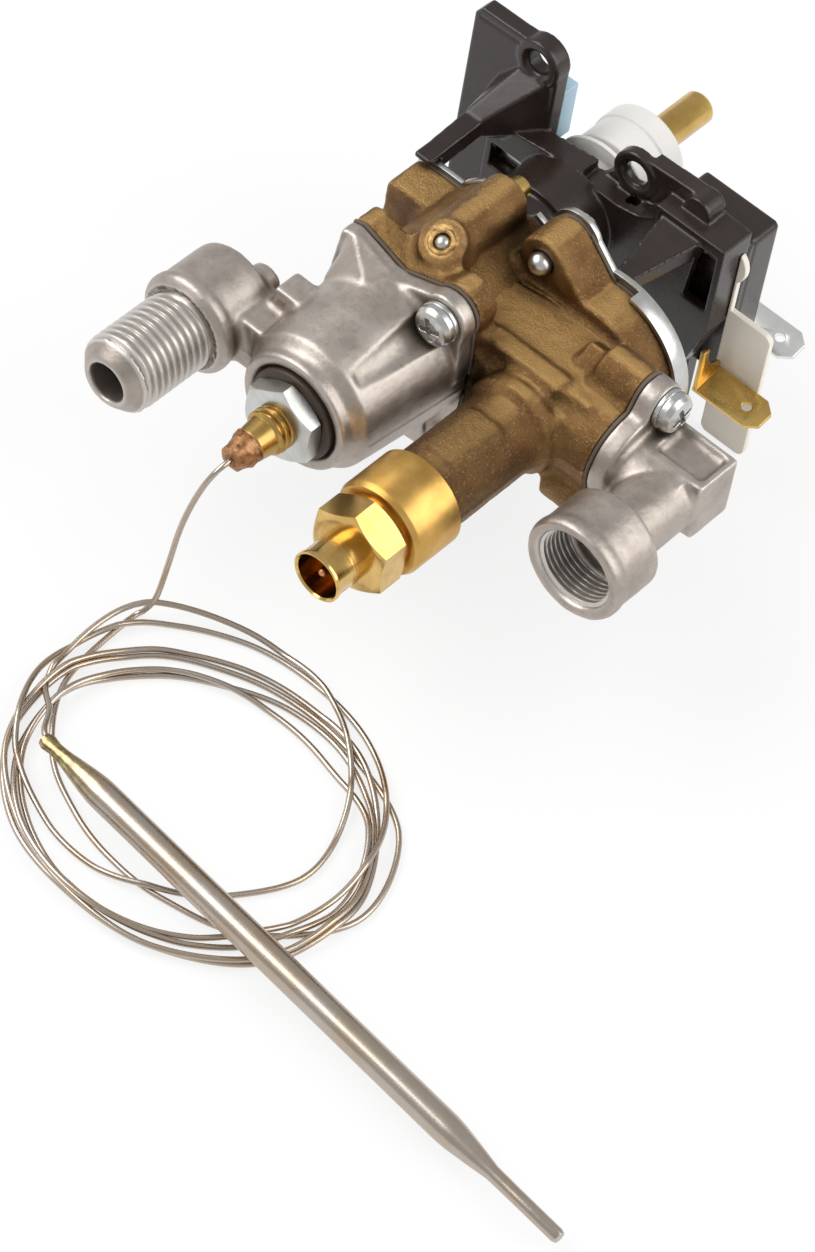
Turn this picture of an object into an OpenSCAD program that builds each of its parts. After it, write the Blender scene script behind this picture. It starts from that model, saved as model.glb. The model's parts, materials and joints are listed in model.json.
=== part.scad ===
// Gas tap with an oven thermostat, a flame-failure magnet unit and a switch carrier.
// The origin is on the shaft axis, in the plane where the knob seats on the collar.
// +Y runs out along the shaft, +X runs across the ports and +Z is up, away from
// the surface that the valve lies on. Most pieces are built in body coordinates,
// where y = 0 is the joint face between the brass body and its bonnet.

/* [Shaft and collar] */
// Diameter of the shaft that takes the knob
shaft_d = 6; // [5:0.5:6.5]
// Length of the shaft that stands out of the collar
shaft_out = 14; // [10:1:25]
// Size over the flat of the shaft
shaft_flat = 5.25; // [5:0.05:5.5]
// Length of the flat from the shaft's tip
shaft_flat_len = 6.5; // [4:0.5:6.5]
// Diameter of the shaft inside the bonnet
stem_d = 7; // [6.8:0.1:7.4]
// Distance from the joint face to the knob seat
seat_h = 36.3; // [35:0.1:42]
// Travel of the shaft when it is pushed in
push_travel = 4; // [3:0.5:4]
// Outer radius of the plastic collar
collar_r = 8.3; // [7.5:0.1:9]
// Height of the collar's upper disc
collar_disc_h = 4.4; // [3:0.2:5]
// Height of the collar's cam ring
collar_ring_h = 6.3; // [5:0.1:6.3]
// Outer radius of the sleeve below the cam ring
sleeve_r = 5.6; // [5.4:0.1:6]

/* [Brass body] */
// Radius of the barrel round the plug
barrel_r = 13; // [12:0.5:14]
// Length of the body from the joint face to the thermostat
barrel_len = 24.4; // [24:0.2:30]
// Thickness of the bonnet flange
flange_t = 7.7; // [7.4:0.1:9]
// Place of the magnet unit's axis across the body
magnet_x = 24.9; // [24.5:0.1:27]
// Centre of the flange's round lobe
lobe_x = 23.2; // [22.5:0.1:24]
// Distance of the lobe's centre below the shaft axis
lobe_drop = 2.6; // [1.5:0.1:3]
// Radius of the flange's round lobe
lobe_r = 14.2; // [13.8:0.1:16]
// Reach of the square block on the far side of the shaft
block_x = 19.7; // [18:0.1:22]
// Half height of the square block
block_z = 7.5; // [6.5:0.5:8]
// Depth of the pocket that holds the push yoke
pocket_d = 7; // [6.8:0.1:7.2]
// Radius of the cast nose round the magnet unit
nose_r = 7.3; // [7.2:0.1:8]
// Distance from the joint face to the end of the nose
nose_end = 48; // [47:0.5:54]
// Height of the by-pass boss above the shaft axis
bypass_z = 15; // [14.5:0.1:16]
// Place of the gas inlet along the body
inlet_y = 17; // [17:0.2:19]
// Distance from the shaft axis to the elbow's joint face
lug_x = 39.3; // [38.9:0.1:43]

/* [Plug] */
// Radius of the tapered plug at its wide end
plug_r = 8; // [7.6:0.1:8.2]
// Radius of the tapered plug at its narrow end
plug_tip_r = 6.5; // [6.2:0.1:6.8]
// Running clearance of turning and sliding fits
fit_gap = 0.05; // [0.02:0.01:0.08]

/* [Bonnet] */
// Thickness of the bonnet plate
bonnet_t = 1; // [0.8:0.1:1.5]
// Thickness of the flat gaskets
gasket_t = 0.6; // [0.4:0.1:1]
// Distance of the bonnet screws from the shaft along X
bonnet_screw_x = 12.5; // [11.5:0.5:13]
// Distance of the bonnet screws above and below the shaft
bonnet_screw_z = 14; // [13.5:0.1:14.5]

/* [Thermostat] */
// Outer radius of the thermostat housing at its flange
housing_r = 14.2; // [14:0.1:15]
// Length of the thermostat housing
housing_len = 22.8; // [22.4:0.2:26]
// Thickness of the housing's flange
housing_flange_t = 3; // [2.5:0.1:4]
// Radius of the chamber in the housing
housing_bore_r = 10.5; // [10.3:0.1:10.8]
// Radius of the threaded stem that carries the capsule
stem_r = 4; // [3.5:0.1:4.4]
// Size across the flats of the lock nut
lock_nut_af = 13; // [12:0.5:14]
// Thickness of the lock nut
lock_nut_t = 3.4; // [3:0.2:5]
// Closing travel of the thermostat's valve disc
disc_travel = 1.5; // [1:0.1:1.6]

/* [Gas outlet] */
// Radius of the outlet's flare thread
flare_r = 7; // [6.8:0.1:7.6]
// Length of the outlet's flare thread
flare_len = 15; // [11:1:18]
// Radius of the hole through the outlet
outlet_bore_r = 3.6; // [3:0.05:4]
// Distance from the shaft axis to the outlet's axis
outlet_x = 24; // [23:0.5:28]

/* [Gas inlet] */
// Radius of the threaded hole in the inlet
inlet_bore_r = 7; // [6.5:0.1:7.4]
// Depth of the threaded hole in the inlet
inlet_depth = 8; // [7:0.5:8.5]
// Outer radius of the inlet's collar
inlet_collar_r = 9; // [8.8:0.1:11]
// Distance from the elbow's joint face to the inlet's axis
elbow_reach = 11.6; // [11.4:0.1:16]

/* [Magnet unit] */
// Length of the turned brass sleeve
sleeve_len = 10.4; // [10:0.1:14]
// Size across the flats of the magnet unit's hexagon
magnet_af = 14; // [13.5:0.5:15]
// Outer radius of the thermocouple socket
socket_r = 4.4; // [4.3:0.05:4.8]
// Radius of the hole in the thermocouple socket
socket_bore_r = 3.9; // [3:0.05:4]
// Opening travel of the flame-failure valve
lift = 3; // [2:0.1:3]

/* [Switch carrier] */
// Distance from the front of the carrier to the collar's cam ring
ring_gap = 10.6; // [9.6:0.2:11.6]
// Depth of the carrier's frame
frame_t = 4; // [3.5:0.1:5]
// Thickness of the carrier's rear wall
wall_t = 3.2; // [2.6:0.1:4]
// Radius of the two fixing holes
eyelet_r = 2.2; // [1.8:0.1:2.6]
// Width of the spade terminals
spade_w = 6.3; // [4.8:0.1:6.3]
// Thickness of the spade terminals
spade_t = 0.8; // [0.5:0.1:1]

/* [Sensing bulb] */
// Diameter of the sensing bulb
bulb_d = 5; // [4:0.5:6]
// Length of the straight part of the bulb
bulb_len = 86; // [60:2:100]
// Diameter of the capillary tube
capillary_d = 1; // [0.8:0.1:1.5]
// Height of the shaft axis above the surface that the valve lies on
stand_h = 31; // [31:1:40]

/* [Hidden] */
$fn = 64;

// Free clearance between pieces that only lie near each other
free_gap = 0.3;
// Clearance of a screw or pin in its hole
hole_gap = 0.1;
// Depth that joined shapes run into each other
joint_lap = 0.5;

// ---- derived places along the shaft axis, in body coordinates ----
shaft_r = shaft_d / 2;
stem_shaft_r = stem_d / 2;
ring_low = seat_h - collar_disc_h - collar_ring_h;
carrier_y = ring_low - ring_gap;
sleeve_low = carrier_y + 5;
clip_t = 0.8;
clip_y = carrier_y - clip_t + 1.6;
shoulder_y = -0.5;
tongue_w = 3;
tongue_tip = -9.5;
yoke_t = 1.5;
yoke_y = shoulder_y - free_gap;
bush_top = 8;
bush_r = 5;
bush_flange_r = 6.6;
plug_top = -pocket_d - free_gap;
plug_low = -21.4;
plug_floor = -17.5;
spring_bore_r = 2.75;
port_r = 1.7;
port_y = -11.3;
duct_r = 1.4;
duct_off = 4.6;
spindle_tip = -33;
ball_pos = [1, -19.4, 18];
ball_r = 1.45;

// ---- derived places of the magnet unit ----
chamber_r = nose_r - 1.3;
seat_y = -13.5;
rest_gap = push_travel - lift + 0.2;
disc_t = 1.6;
rod_r = 1.5;
rod_tip = seat_y + rest_gap - 0.05;
sleeve_r_out = nose_r + 1.3;
sleeve_end = -nose_end - sleeve_len;
hex_t = 6.6;
hex_end = sleeve_end - hex_t;
socket_len = 7;
socket_end = hex_end - socket_len;
socket_floor = hex_end + 1.5;
spigot_len = 3.5;
can_r = chamber_r - 1.15;
can_front = -38;
can_t = 0.5;
pole_face = -46.5;
leg_x = 2.15;
armature_t = 1.5;
armature_y = pole_face + lift + free_gap;

// ---- derived places of the thermostat ----
rear_y = -barrel_len;
housing_y = rear_y - gasket_t;
housing_end = housing_y - housing_len;
boss_end = housing_end - 2.5;
housing_seat_y = housing_y - 6;
outlet_y = housing_y - 14;
washer_face = boss_end + 1;
washer_t = 1.5;
nut_face = washer_face - washer_t;
stem_end = nut_face - lock_nut_t - 6.2;
braze_end = stem_end - 4.3;
flare_base = -50;
flare_end = flare_base - flare_len;
nose_len = 2.7;
screw_pos = [9.5, 13];
capsule_r = 9.2;
capsule_neck_r = 4.4;
capsule_front = housing_seat_y - 8.1;
disc_nose = housing_seat_y - 3.8;
disc_plate_r = 8.4;
spring_mid_r = 7.2;

// ---- derived places of the inlet elbow ----
elbow_face = lug_x + gasket_t;
elbow_flange_t = 3.4;
inlet_x = lug_x + elbow_reach;
ear_y = 4.5;
ear_z = 9.5;
neck_end = -31.5;
inlet_end = neck_end - 10.5;

// ---- derived places of the carrier ----
wall_y = carrier_y + frame_t;
back_y = wall_y + wall_t;
boss_r = 10;
boss_y = 6.5;
boss_tip_r = 8.8;
boss_tip_y = 3;
wall_left = -26.7;
wall_right = 31.4;
slide_t = 0.8;
slide_travel = 2.4;
recess_y = wall_y + 1.6;
slide_y = recess_y + 0.1 + slide_travel;
plate_y = wall_y + 1;
plate_right = wall_right + 9.2;

// ---- capillary: points of the free stretch, chosen by hand ----
floor_z = -stand_h;
coil_x = 26;
coil_y = -96;
coil_in_r = 22;
coil_out_r = 35;
coil_h = 2.4;
tube_route = [
    [0, 0, 0], [0, -1.2, -0.1], [-0.2, -2.3, -0.6], [-0.6, -3.3, -1.8], [-1.1, -4.4, -3.8],
    [-1.5, -5.9, -6.8], [-1.6, -7.4, -9.8], [-1.5, -8.7, -12.8], [-1.4, -9.7, -16.4],
    [-1.5, -10.4, -20], [-1.8, -10.8, -23.5], [-2.2, -11.1, -26.4], [-2.8, -11.7, -28.6],
    [-3.5, -13, -30], [-4.1, -14.8, -30.4]];
bulb_x = 13;
bulb_y = -110.5;
bulb_turn = -5.6;
bulb_tilt = 1.3;
bulb_neck = 9;
bulb_lift = coil_h + bulb_d / 2 + 1.1;

// ---- helpers ----
module on_body() { translate([0, -seat_h, 0]) children(); }
module rod_y(r, y0, y1) {
    translate([0, y0, 0]) rotate([-90, 0, 0]) cylinder(r = r, h = y1 - y0);
}
module cone_y(r0, r1, y0, y1) {
    translate([0, y0, 0]) rotate([-90, 0, 0]) cylinder(r1 = r0, r2 = r1, h = y1 - y0);
}
module rod_x(r, x0, x1) {
    translate([x0, 0, 0]) rotate([0, 90, 0]) cylinder(r = r, h = x1 - x0);
}
module rod_z(r, z0, z1) { translate([0, 0, z0]) cylinder(r = r, h = z1 - z0); }
module slab_y(y0, y1) {
    translate([0, y1, 0]) rotate([90, 0, 0]) linear_extrude(y1 - y0) children();
}
module slab_x(x0, x1) {
    translate([x0, 0, 0]) rotate([90, 0, 90]) linear_extrude(x1 - x0) children();
}
module slab_z(z0, z1) { translate([0, 0, z0]) linear_extrude(z1 - z0) children(); }
module at(x, z) { translate([x, 0, z]) children(); }
module hex_y(af, y0, y1) {
    translate([0, y0, 0]) rotate([-90, 30, 0])
        cylinder(d = af / cos(30), h = y1 - y0, $fn = 6);
}
// Solid of revolution about the Y axis, from points [radius, y]
module turned_y(points) { rotate([-90, 0, 0]) rotate_extrude() polygon(points); }
// Ring of round section about the Y axis
module ring_y(mid_r, wire_r, y) {
    translate([0, y, 0]) rotate([-90, 0, 0]) rotate_extrude()
        translate([mid_r, 0]) circle(r = wire_r, $fn = 24);
}
// Rectangle with rounded corners, from corner to corner
module round_box(x0, z0, x1, z1, r) {
    for (x = [x0 + r, x1 - r], z = [z0 + r, z1 - r]) translate([x, z]) circle(r = r);
    translate([x0 + r, z0]) square([x1 - x0 - 2 * r, z1 - z0]);
    translate([x0, z0 + r]) square([x1 - x0, z1 - z0 - 2 * r]);
}
// Pan-head screw along +Y: the head starts at y = 0, the shank runs to -y
module pan_screw(head_r, head_h, shank_r, shank_len) {
    difference() {
        union() {
            turned_y([[0, 0], [head_r, 0], [head_r, head_h * 0.45],
                [head_r * 0.86, head_h * 0.8], [head_r * 0.55, head_h], [0, head_h]]);
            rod_y(shank_r, -shank_len, joint_lap);
        }
        for (a = [0, 90]) rotate([0, a + 20, 0])
            translate([-head_r * 0.6, head_h * 0.45, -0.45]) cube([head_r * 1.2, head_h, 0.9]);
    }
}
// Split spring washer along Y, from y = 0 to y = t
module spring_washer(in_r, out_r, t) {
    difference() {
        rod_y(out_r, 0, t);
        rod_y(in_r, -1, t + 1);
        rotate([0, 35, 0]) translate([0, -1, -0.25]) cube([out_r + 1, t + 2, 0.5]);
    }
}
// Helical spring about the Y axis between two planes
module coil_spring(mid_r, wire_r, y0, y1, turns) {
    sides = 6;
    steps = turns * 12;
    rise = (y1 - y0 - 2 * wire_r) / steps;
    points = [for (i = [0:steps], j = [0:sides - 1])
        let (a = i * 30, b = j * 360 / sides, r = mid_r + wire_r * cos(b))
        [r * cos(a), y0 + wire_r + i * rise + wire_r * sin(b), r * sin(a)]];
    walls = [for (i = [0:steps - 1], j = [0:sides - 1])
        let (k = (j + 1) % sides, p = i * sides, q = (i + 1) * sides)
        each [[p + j, q + j, q + k], [p + j, q + k, p + k]]];
    ends = [[for (j = [0:sides - 1]) j], [for (j = [sides - 1:-1:0]) steps * sides + j]];
    polyhedron(points = points, faces = concat(walls, ends));
}
function unit(v) = v / norm(v);
function tangent(route, i) = unit(route[min(i + 1, len(route) - 1)] - route[max(i - 1, 0)]);
function carried(route, i) = i == 0 ? [1, 0, 0]
    : let (t = tangent(route, i), n = carried(route, i - 1)) unit(n - (n * t) * t);
// Round tube of constant diameter along a route of points
module swept_tube(route, d, sides = 8) {
    last = len(route) - 1;
    points = [for (i = [0:last])
        let (t = tangent(route, i), n = carried(route, i), m = cross(t, n))
        for (j = [0:sides - 1])
            route[i] + d / 2 * (cos(j * 360 / sides) * n + sin(j * 360 / sides) * m)];
    walls = [for (i = [0:last - 1], j = [0:sides - 1])
        let (k = (j + 1) % sides, p = i * sides, q = (i + 1) * sides)
        each [[p + j, q + j, q + k], [p + j, q + k, p + k]]];
    ends = [[for (j = [0:sides - 1]) j], [for (j = [sides - 1:-1:0]) last * sides + j]];
    polyhedron(points = points, faces = concat(walls, ends));
}

// ---- outlines and flanges shared by mating pieces ----
// Flange of the joint between the body and the bonnet
module bonnet_flange(y0, y1, grow = 0) {
    rod_y(barrel_r + grow, y0, y1);
    at(lobe_x, -lobe_drop) rod_y(lobe_r + grow, y0, y1);
    for (s = [-1, 1]) {
        at(bonnet_screw_x, s * bonnet_screw_z) rod_y(4.6 + grow, y0, y1);
        slab_y(y0, y1) polygon([[bonnet_screw_x, 0], [bonnet_screw_x, s * bonnet_screw_z],
            [bonnet_screw_x + 3.2, s * (bonnet_screw_z + 3.2)],
            [lobe_x - 1.5, s * (lobe_r - 0.2) - lobe_drop], [lobe_x, 0]]);
    }
    slab_y(y0, y1) round_box(-block_x - grow, -block_z - grow, joint_lap, block_z + grow, 1.5);
}
module pocket_outline() {
    circle(r = plug_r + 1.2);
    translate([magnet_x, 0]) circle(r = 5);
    translate([0, -4.4]) square([magnet_x, 8.8]);
}
module bonnet_holes(r) {
    for (s = [-1, 1]) translate([bonnet_screw_x, s * bonnet_screw_z]) circle(r = r);
}
// Flange of the joint between the body and the thermostat housing
module housing_flange(y0, y1) {
    rod_y(barrel_r, y0, y1);
    for (turn = [0, 180]) rotate([0, turn, 0]) {
        at(screw_pos[0], screw_pos[1]) rod_y(4.7, y0, y1);
        slab_y(y0, y1) polygon([[-14, 3.4], [-12.4, 16.2], [-10.2, 16.8], [-1.2, 13.6],
            [6.6, 16.4], [13.7, 12.4], [14.4, 2]]);
    }
}
module housing_holes(r) {
    for (s = [-1, 1]) translate(s * screw_pos) circle(r = r);
}
// Outline of the inlet joint, drawn in Y and Z
module elbow_outline() {
    translate([-inlet_y, 0]) {
        circle(r = 8.6);
        for (s = [-1, 1]) translate([s * ear_y, s * ear_z]) circle(r = 4);
        rotate(atan2(ear_z, ear_y)) square([2 * norm([ear_y, ear_z]), 8], center = true);
    }
}
module elbow_holes(r) {
    translate([-inlet_y, 0])
        for (s = [-1, 1]) translate([s * ear_y, s * ear_z]) circle(r = r);
}

// ---- brass body and what closes it ----
module valve_body() {
    block_top = 8.6;
    block_y = -21.4;
    passage_low = -19;
    color("peru") on_body() difference() {
        union() {
            bonnet_flange(-flange_t, 0);
            rod_y(barrel_r, rear_y, -flange_t + joint_lap);
            housing_flange(rear_y, rear_y + 4.6);
            translate([0, block_y, -block_top])
                cube([lug_x - 4, -block_y - flange_t + joint_lap, 2 * block_top]);
            translate([4, rear_y, -6]) cube([lug_x - 10, 4, 12]);
            at(magnet_x, 0) rod_y(nose_r, -nose_end, block_y + 4);
            at(magnet_x, 0) cone_y(nose_r, block_top, block_y - 9, block_y + 4);
            translate([0, -inlet_y, 0]) rod_x(8.6, magnet_x, lug_x);
            slab_x(lug_x - 8, lug_x) elbow_outline();
            slab_x(lug_x - 12, lug_x - 4) polygon([[-9, 8], [-12.5, 11.6], [-17, 8], [-17, 0], [-9, 0]]);
            at(0, bypass_z) rod_y(4.3, passage_low, -1.5);
            translate([-4.3, passage_low, 0]) cube([8.6, -passage_low - 1.5, bypass_z]);
            translate(ball_pos) rotate([30, 0, 0]) rod_z(4.1, -9, 0);
        }
        slab_y(-pocket_d, 1) pocket_outline();
        slab_y(-flange_t - 4, 1) bonnet_holes(2 + hole_gap);
        slab_y(rear_y - 1, rear_y + 5) housing_holes(1.9);
        cone_y(plug_tip_r + fit_gap, plug_r + fit_gap, plug_low - 0.5, -pocket_d + 0.01);
        rod_y(5.8, rear_y - 1, plug_low);
        at(magnet_x, 0) rod_y(chamber_r, -nose_end - 1, seat_y);
        at(magnet_x, 0) rod_y(3.2, seat_y - 1, -9.5);
        at(magnet_x, 0) rod_y(rod_r + fit_gap, -10, 0);
        at(magnet_x, 0) rod_y(3, -pocket_d - 1.4, 0);
        translate([0, port_y, 0]) rod_x(port_r, plug_tip_r, magnet_x);
        translate([0, -inlet_y - 1, 0]) rod_x(4, magnet_x, lug_x + 1);
        slab_x(lug_x - 6, lug_x + 1) elbow_holes(1.7);
        at(0, bypass_z) rod_y(2 + fit_gap, -14, 0);
        translate([0, -13, 0]) rod_z(0.9, plug_tip_r, bypass_z);
        translate(ball_pos) rotate([30, 0, 0]) rod_z(ball_r + 0.3, -2.4, 1);
    }
}

module passage_ball() {
    color("silver") on_body() translate(ball_pos) rotate([30, 0, 0])
        translate([0, 0, 0.5 - ball_r]) sphere(r = ball_r);
}

module bonnet_gasket() {
    color("dimgray") on_body() difference() {
        bonnet_flange(0, gasket_t, -0.4);
        slab_y(-1, gasket_t + 1) {
            pocket_outline();
            bonnet_holes(2 + hole_gap);
        }
        at(0, bypass_z) rod_y(5, -1, gasket_t + 1);
    }
}

module bonnet_plate() {
    lip_r = lobe_r + hole_gap;
    lip_t = 0.9;
    lip_left = lobe_x + 3;
    top = gasket_t + bonnet_t;
    color("lightgray") on_body() difference() {
        union() {
            difference() {
                bonnet_flange(gasket_t, top, 0.3);
                at(0, bypass_z) rod_y(5, 0, top + 1);
            }
            at(lobe_x, -lobe_drop) rod_y(lip_r + lip_t, -1.6, top);
            for (s = [-1, 1]) translate([-10, top + 1, s * 4.4]) rotate([20, 0, s * 15])
                cube([6, 1.4, 1], center = true);
        }
        at(lobe_x, -lobe_drop) rod_y(lip_r, -2, gasket_t);
        translate([-5, -2, -30]) cube([lip_left + 5, 2 + gasket_t, 60]);
        rod_y(bush_r + hole_gap, -1, top + 1);
        slab_y(-1, top + 1) bonnet_holes(2 + hole_gap);
    }
}

module bonnet_screws() {
    color("lightgray") on_body() for (s = [-1, 1])
        at(bonnet_screw_x, s * bonnet_screw_z) translate([0, gasket_t + bonnet_t, 0]) {
            pan_screw(3.4, 2.2, 2, flange_t + 1.9);
            translate([0, -flange_t - 1.9, 0]) sphere(r = 2);
        }
}

module bonnet_bush() {
    color("goldenrod") on_body() difference() {
        union() {
            rod_y(bush_r, shoulder_y, bush_top);
            rod_y(bush_flange_r, shoulder_y, gasket_t);
        }
        rod_y(stem_shaft_r + fit_gap, -1, bush_top + 1);
        rod_y(stem_shaft_r + 1.1, 3, 4.2);
    }
}

module shaft_seal() {
    color("black") on_body() ring_y(stem_shaft_r + fit_gap + 0.5, 0.5, 3.6);
}

module rod_seal() {
    color("black") on_body() at(magnet_x, 0) ring_y(rod_r + fit_gap + 0.65, 0.6, -pocket_d - 0.7);
}

module bypass_screw() {
    color("gold") on_body() at(0, bypass_z) difference() {
        union() {
            rod_y(2, -10.5, 1.6);
            cone_y(0.6, 1.6, -12.8, -10.5);
        }
        translate([-2.5, 0.7, -0.3]) cube([5, 2, 0.6]);
        difference() {
            rod_y(3, -6, -5);
            rod_y(1.3, -7, -4);
        }
    }
}

module bypass_seal() {
    color("black") on_body() at(0, bypass_z) difference() {
        rod_y(2, -5.9, -5.1);
        rod_y(1.35, -7, -4);
    }
}

// ---- plug and shaft ----
module tapered_plug() {
    color("darkgoldenrod") on_body() difference() {
        cone_y(plug_tip_r, plug_r, plug_low, plug_top);
        rod_y(spring_bore_r, plug_floor, 0);
        slab_y(plug_floor + 1.6, 0)
            square([2 * shaft_r + 0.4, tongue_w + 2 * hole_gap], center = true);
        at(0, duct_off) rod_y(duct_r, plug_low - 1, port_y);
        translate([0, port_y, 0]) rod_z(port_r, duct_off, plug_r + 1);
        rod_y(1.5 + hole_gap, plug_low - 1, plug_floor + 1);
    }
}

module setting_spindle() {
    color("gold") on_body() {
        rod_y(1.5, spindle_tip, plug_floor + 0.05);
        rod_y(2.4, plug_floor + 0.05, plug_floor + 1);
        rod_y(2.6, plug_low - 1.4, plug_low);
    }
}

module plug_spring() {
    color("silver") on_body() coil_spring(2.05, 0.3, plug_floor + 1.05, tongue_tip - 0.05, 3);
}

module shaft() {
    tip_y = seat_h + shaft_out;
    color("goldenrod") on_body() difference() {
        union() {
            rod_y(stem_shaft_r, shoulder_y, seat_h);
            rod_y(shaft_r, seat_h - joint_lap, tip_y - 0.6);
            cone_y(shaft_r, shaft_r - 0.5, tip_y - 0.6, tip_y);
            intersection() {
                rod_y(shaft_r, tongue_tip, shoulder_y + joint_lap);
                translate([-10, tongue_tip, -tongue_w / 2]) cube([20, 12, tongue_w]);
            }
        }
        translate([-5, tip_y - shaft_flat_len, shaft_r - shaft_flat - 5])
            cube([10, shaft_flat_len + 1, 5]);
        difference() {
            rod_y(6, clip_y, clip_y + clip_t);
            rod_y(stem_shaft_r - 0.4, 0, seat_h);
        }
    }
}

module cam_collar() {
    top_r = 0.8;
    color("ivory") on_body() difference() {
        union() {
            turned_y([[0, seat_h - collar_disc_h], [collar_r, seat_h - collar_disc_h],
                [collar_r, seat_h - top_r], [collar_r - 0.3, seat_h - 0.3],
                [collar_r - top_r, seat_h], [0, seat_h]]);
            difference() {
                rod_y(collar_r - 0.4, ring_low, seat_h - collar_disc_h + joint_lap);
                translate([0, ring_low, 0]) rotate([0, 40, 0]) rotate([0, 0, 12])
                    translate([3, -6, -15]) cube([20, 6, 30]);
            }
            rod_y(sleeve_r, sleeve_low, ring_low + 1);
        }
        rod_y(stem_shaft_r + 0.02, 0, seat_h + 1);
    }
}

module shaft_clip() {
    color("silver") on_body() difference() {
        rod_y(stem_shaft_r + 1, clip_y + 0.02, clip_y + clip_t - 0.02);
        rod_y(stem_shaft_r - 0.38, 0, seat_h);
        translate([0, 0, -1.2]) cube([10, seat_h, 2.4]);
    }
}

module shaft_spring() {
    color("silver") on_body()
        coil_spring(stem_shaft_r + 0.7, 0.35, bush_top + 0.05, clip_y - 0.05, 4);
}

// ---- push yoke and flame-failure valve ----
module push_yoke() {
    color("silver") on_body() slab_y(yoke_y - yoke_t, yoke_y) difference() {
        union() {
            circle(r = 6);
            translate([magnet_x, 0]) circle(r = 3);
            translate([0, -2.5]) square([magnet_x, 5]);
        }
        circle(r = shaft_r + 0.2);
        translate([magnet_x, 0]) circle(r = 1 + 0.02);
    }
}

module push_rod() {
    color("lightgray") on_body() at(magnet_x, 0) {
        rod_y(rod_r, rod_tip, yoke_y - yoke_t);
        rod_y(1, yoke_y - yoke_t - joint_lap, yoke_y);
    }
}

module valve_disc() {
    color("black") on_body() at(magnet_x, 0) difference() {
        rod_y(4.6, seat_y - 0.05 - disc_t, seat_y - 0.05);
        rod_y(1.22, seat_y - 3, seat_y - 0.8);
    }
}

module armature() {
    color("gray") on_body() at(magnet_x, 0) {
        rod_y(1.2, armature_y, seat_y - 0.85);
        rod_y(4, armature_y, armature_y + armature_t);
        rod_y(4.2, seat_y - disc_t - 0.7, seat_y - disc_t - 0.1);
    }
}

module armature_spring() {
    color("silver") on_body() at(magnet_x, 0)
        coil_spring(2.8, 0.35, can_front + 0.05, seat_y - disc_t - 0.75, 7);
}

module magnet_can() {
    color("silver") on_body() at(magnet_x, 0) difference() {
        rod_y(can_r, sleeve_end + 3.1, can_front);
        rod_y(can_r - can_t, sleeve_end + 1, can_front - can_t);
        rod_y(1.2 + hole_gap, can_front - 2, can_front + 1);
    }
}

module magnet_core() {
    base_y = sleeve_end + 3.2;
    color("dimgray") on_body() at(magnet_x, 0) {
        rod_y(can_r - can_t - hole_gap, base_y, base_y + 2.6);
        for (s = [-1, 1]) at(s * leg_x, 0) rod_y(1, base_y + 2, pole_face);
    }
}

module magnet_coils() {
    color("sienna") on_body() at(magnet_x, 0) for (s = [-1, 1]) at(s * leg_x, 0) difference() {
        rod_y(2, sleeve_end + 5.9, pole_face - 0.8);
        rod_y(1.03, sleeve_end, pole_face);
    }
}

module magnet_sleeve() {
    groove_y = -nose_end + 1.2;
    color("gold") on_body() at(magnet_x, 0) difference() {
        union() {
            turned_y([[0, -nose_end], [sleeve_r_out, -nose_end],
                [sleeve_r_out, sleeve_end + 0.9], [sleeve_r_out - 0.7, sleeve_end],
                [0, sleeve_end]]);
            rod_y(chamber_r - fit_gap, -nose_end - joint_lap, -nose_end + spigot_len);
        }
        rod_y(can_r + fit_gap, sleeve_end - 1, -nose_end + spigot_len + 1);
        difference() {
            rod_y(chamber_r + 1, groove_y, groove_y + 1);
            rod_y(chamber_r - 0.65, groove_y - 1, groove_y + 2);
        }
    }
}

module magnet_seal() {
    groove_y = -nose_end + 1.2;
    color("black") on_body() at(magnet_x, 0) difference() {
        rod_y(chamber_r - 0.02, groove_y + 0.05, groove_y + 0.95);
        rod_y(chamber_r - 0.63, groove_y - 1, groove_y + 2);
    }
}

module magnet_body() {
    color("gold") on_body() at(magnet_x, 0) difference() {
        union() {
            intersection() {
                hex_y(magnet_af, hex_end, sleeve_end - 0.7);
                turned_y([[0, hex_end], [magnet_af * 0.5, hex_end],
                    [magnet_af * 0.6, hex_end + 0.8], [magnet_af * 0.6, sleeve_end - 1.3],
                    [magnet_af * 0.55, sleeve_end - 0.7], [0, sleeve_end - 0.7]]);
            }
            rod_y(magnet_af * 0.47, sleeve_end - 1, sleeve_end);
            rod_y(can_r - hole_gap, sleeve_end - joint_lap, sleeve_end + 3);
            rod_y(socket_r, socket_end + 0.9, hex_end + joint_lap);
            cone_y(socket_r + 0.4, socket_r, socket_end, socket_end + 0.9);
        }
        rod_y(socket_bore_r, socket_end - 1, socket_floor);
        rod_y(2, socket_floor - 1, sleeve_end + 4);
    }
}

module contact_insulator() {
    color("saddlebrown") on_body() at(magnet_x, 0) difference() {
        rod_y(2 - 0.02, socket_floor, sleeve_end + 2.9);
        rod_y(0.72, socket_floor - 1, sleeve_end + 4);
    }
}

module contact_pin() {
    color("orangered") on_body() at(magnet_x, 0) {
        rod_y(0.7, socket_end + 1.6, sleeve_end + 3.1);
        translate([0, socket_end + 1.6, 0]) sphere(r = 0.7);
    }
}

// ---- thermostat ----
module housing_gasket() {
    color("dimgray") on_body() difference() {
        housing_flange(housing_y, rear_y);
        rod_y(housing_bore_r - 1, housing_y - 1, rear_y + 1);
        slab_y(housing_y - 1, rear_y + 1) housing_holes(2.1);
    }
}

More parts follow.
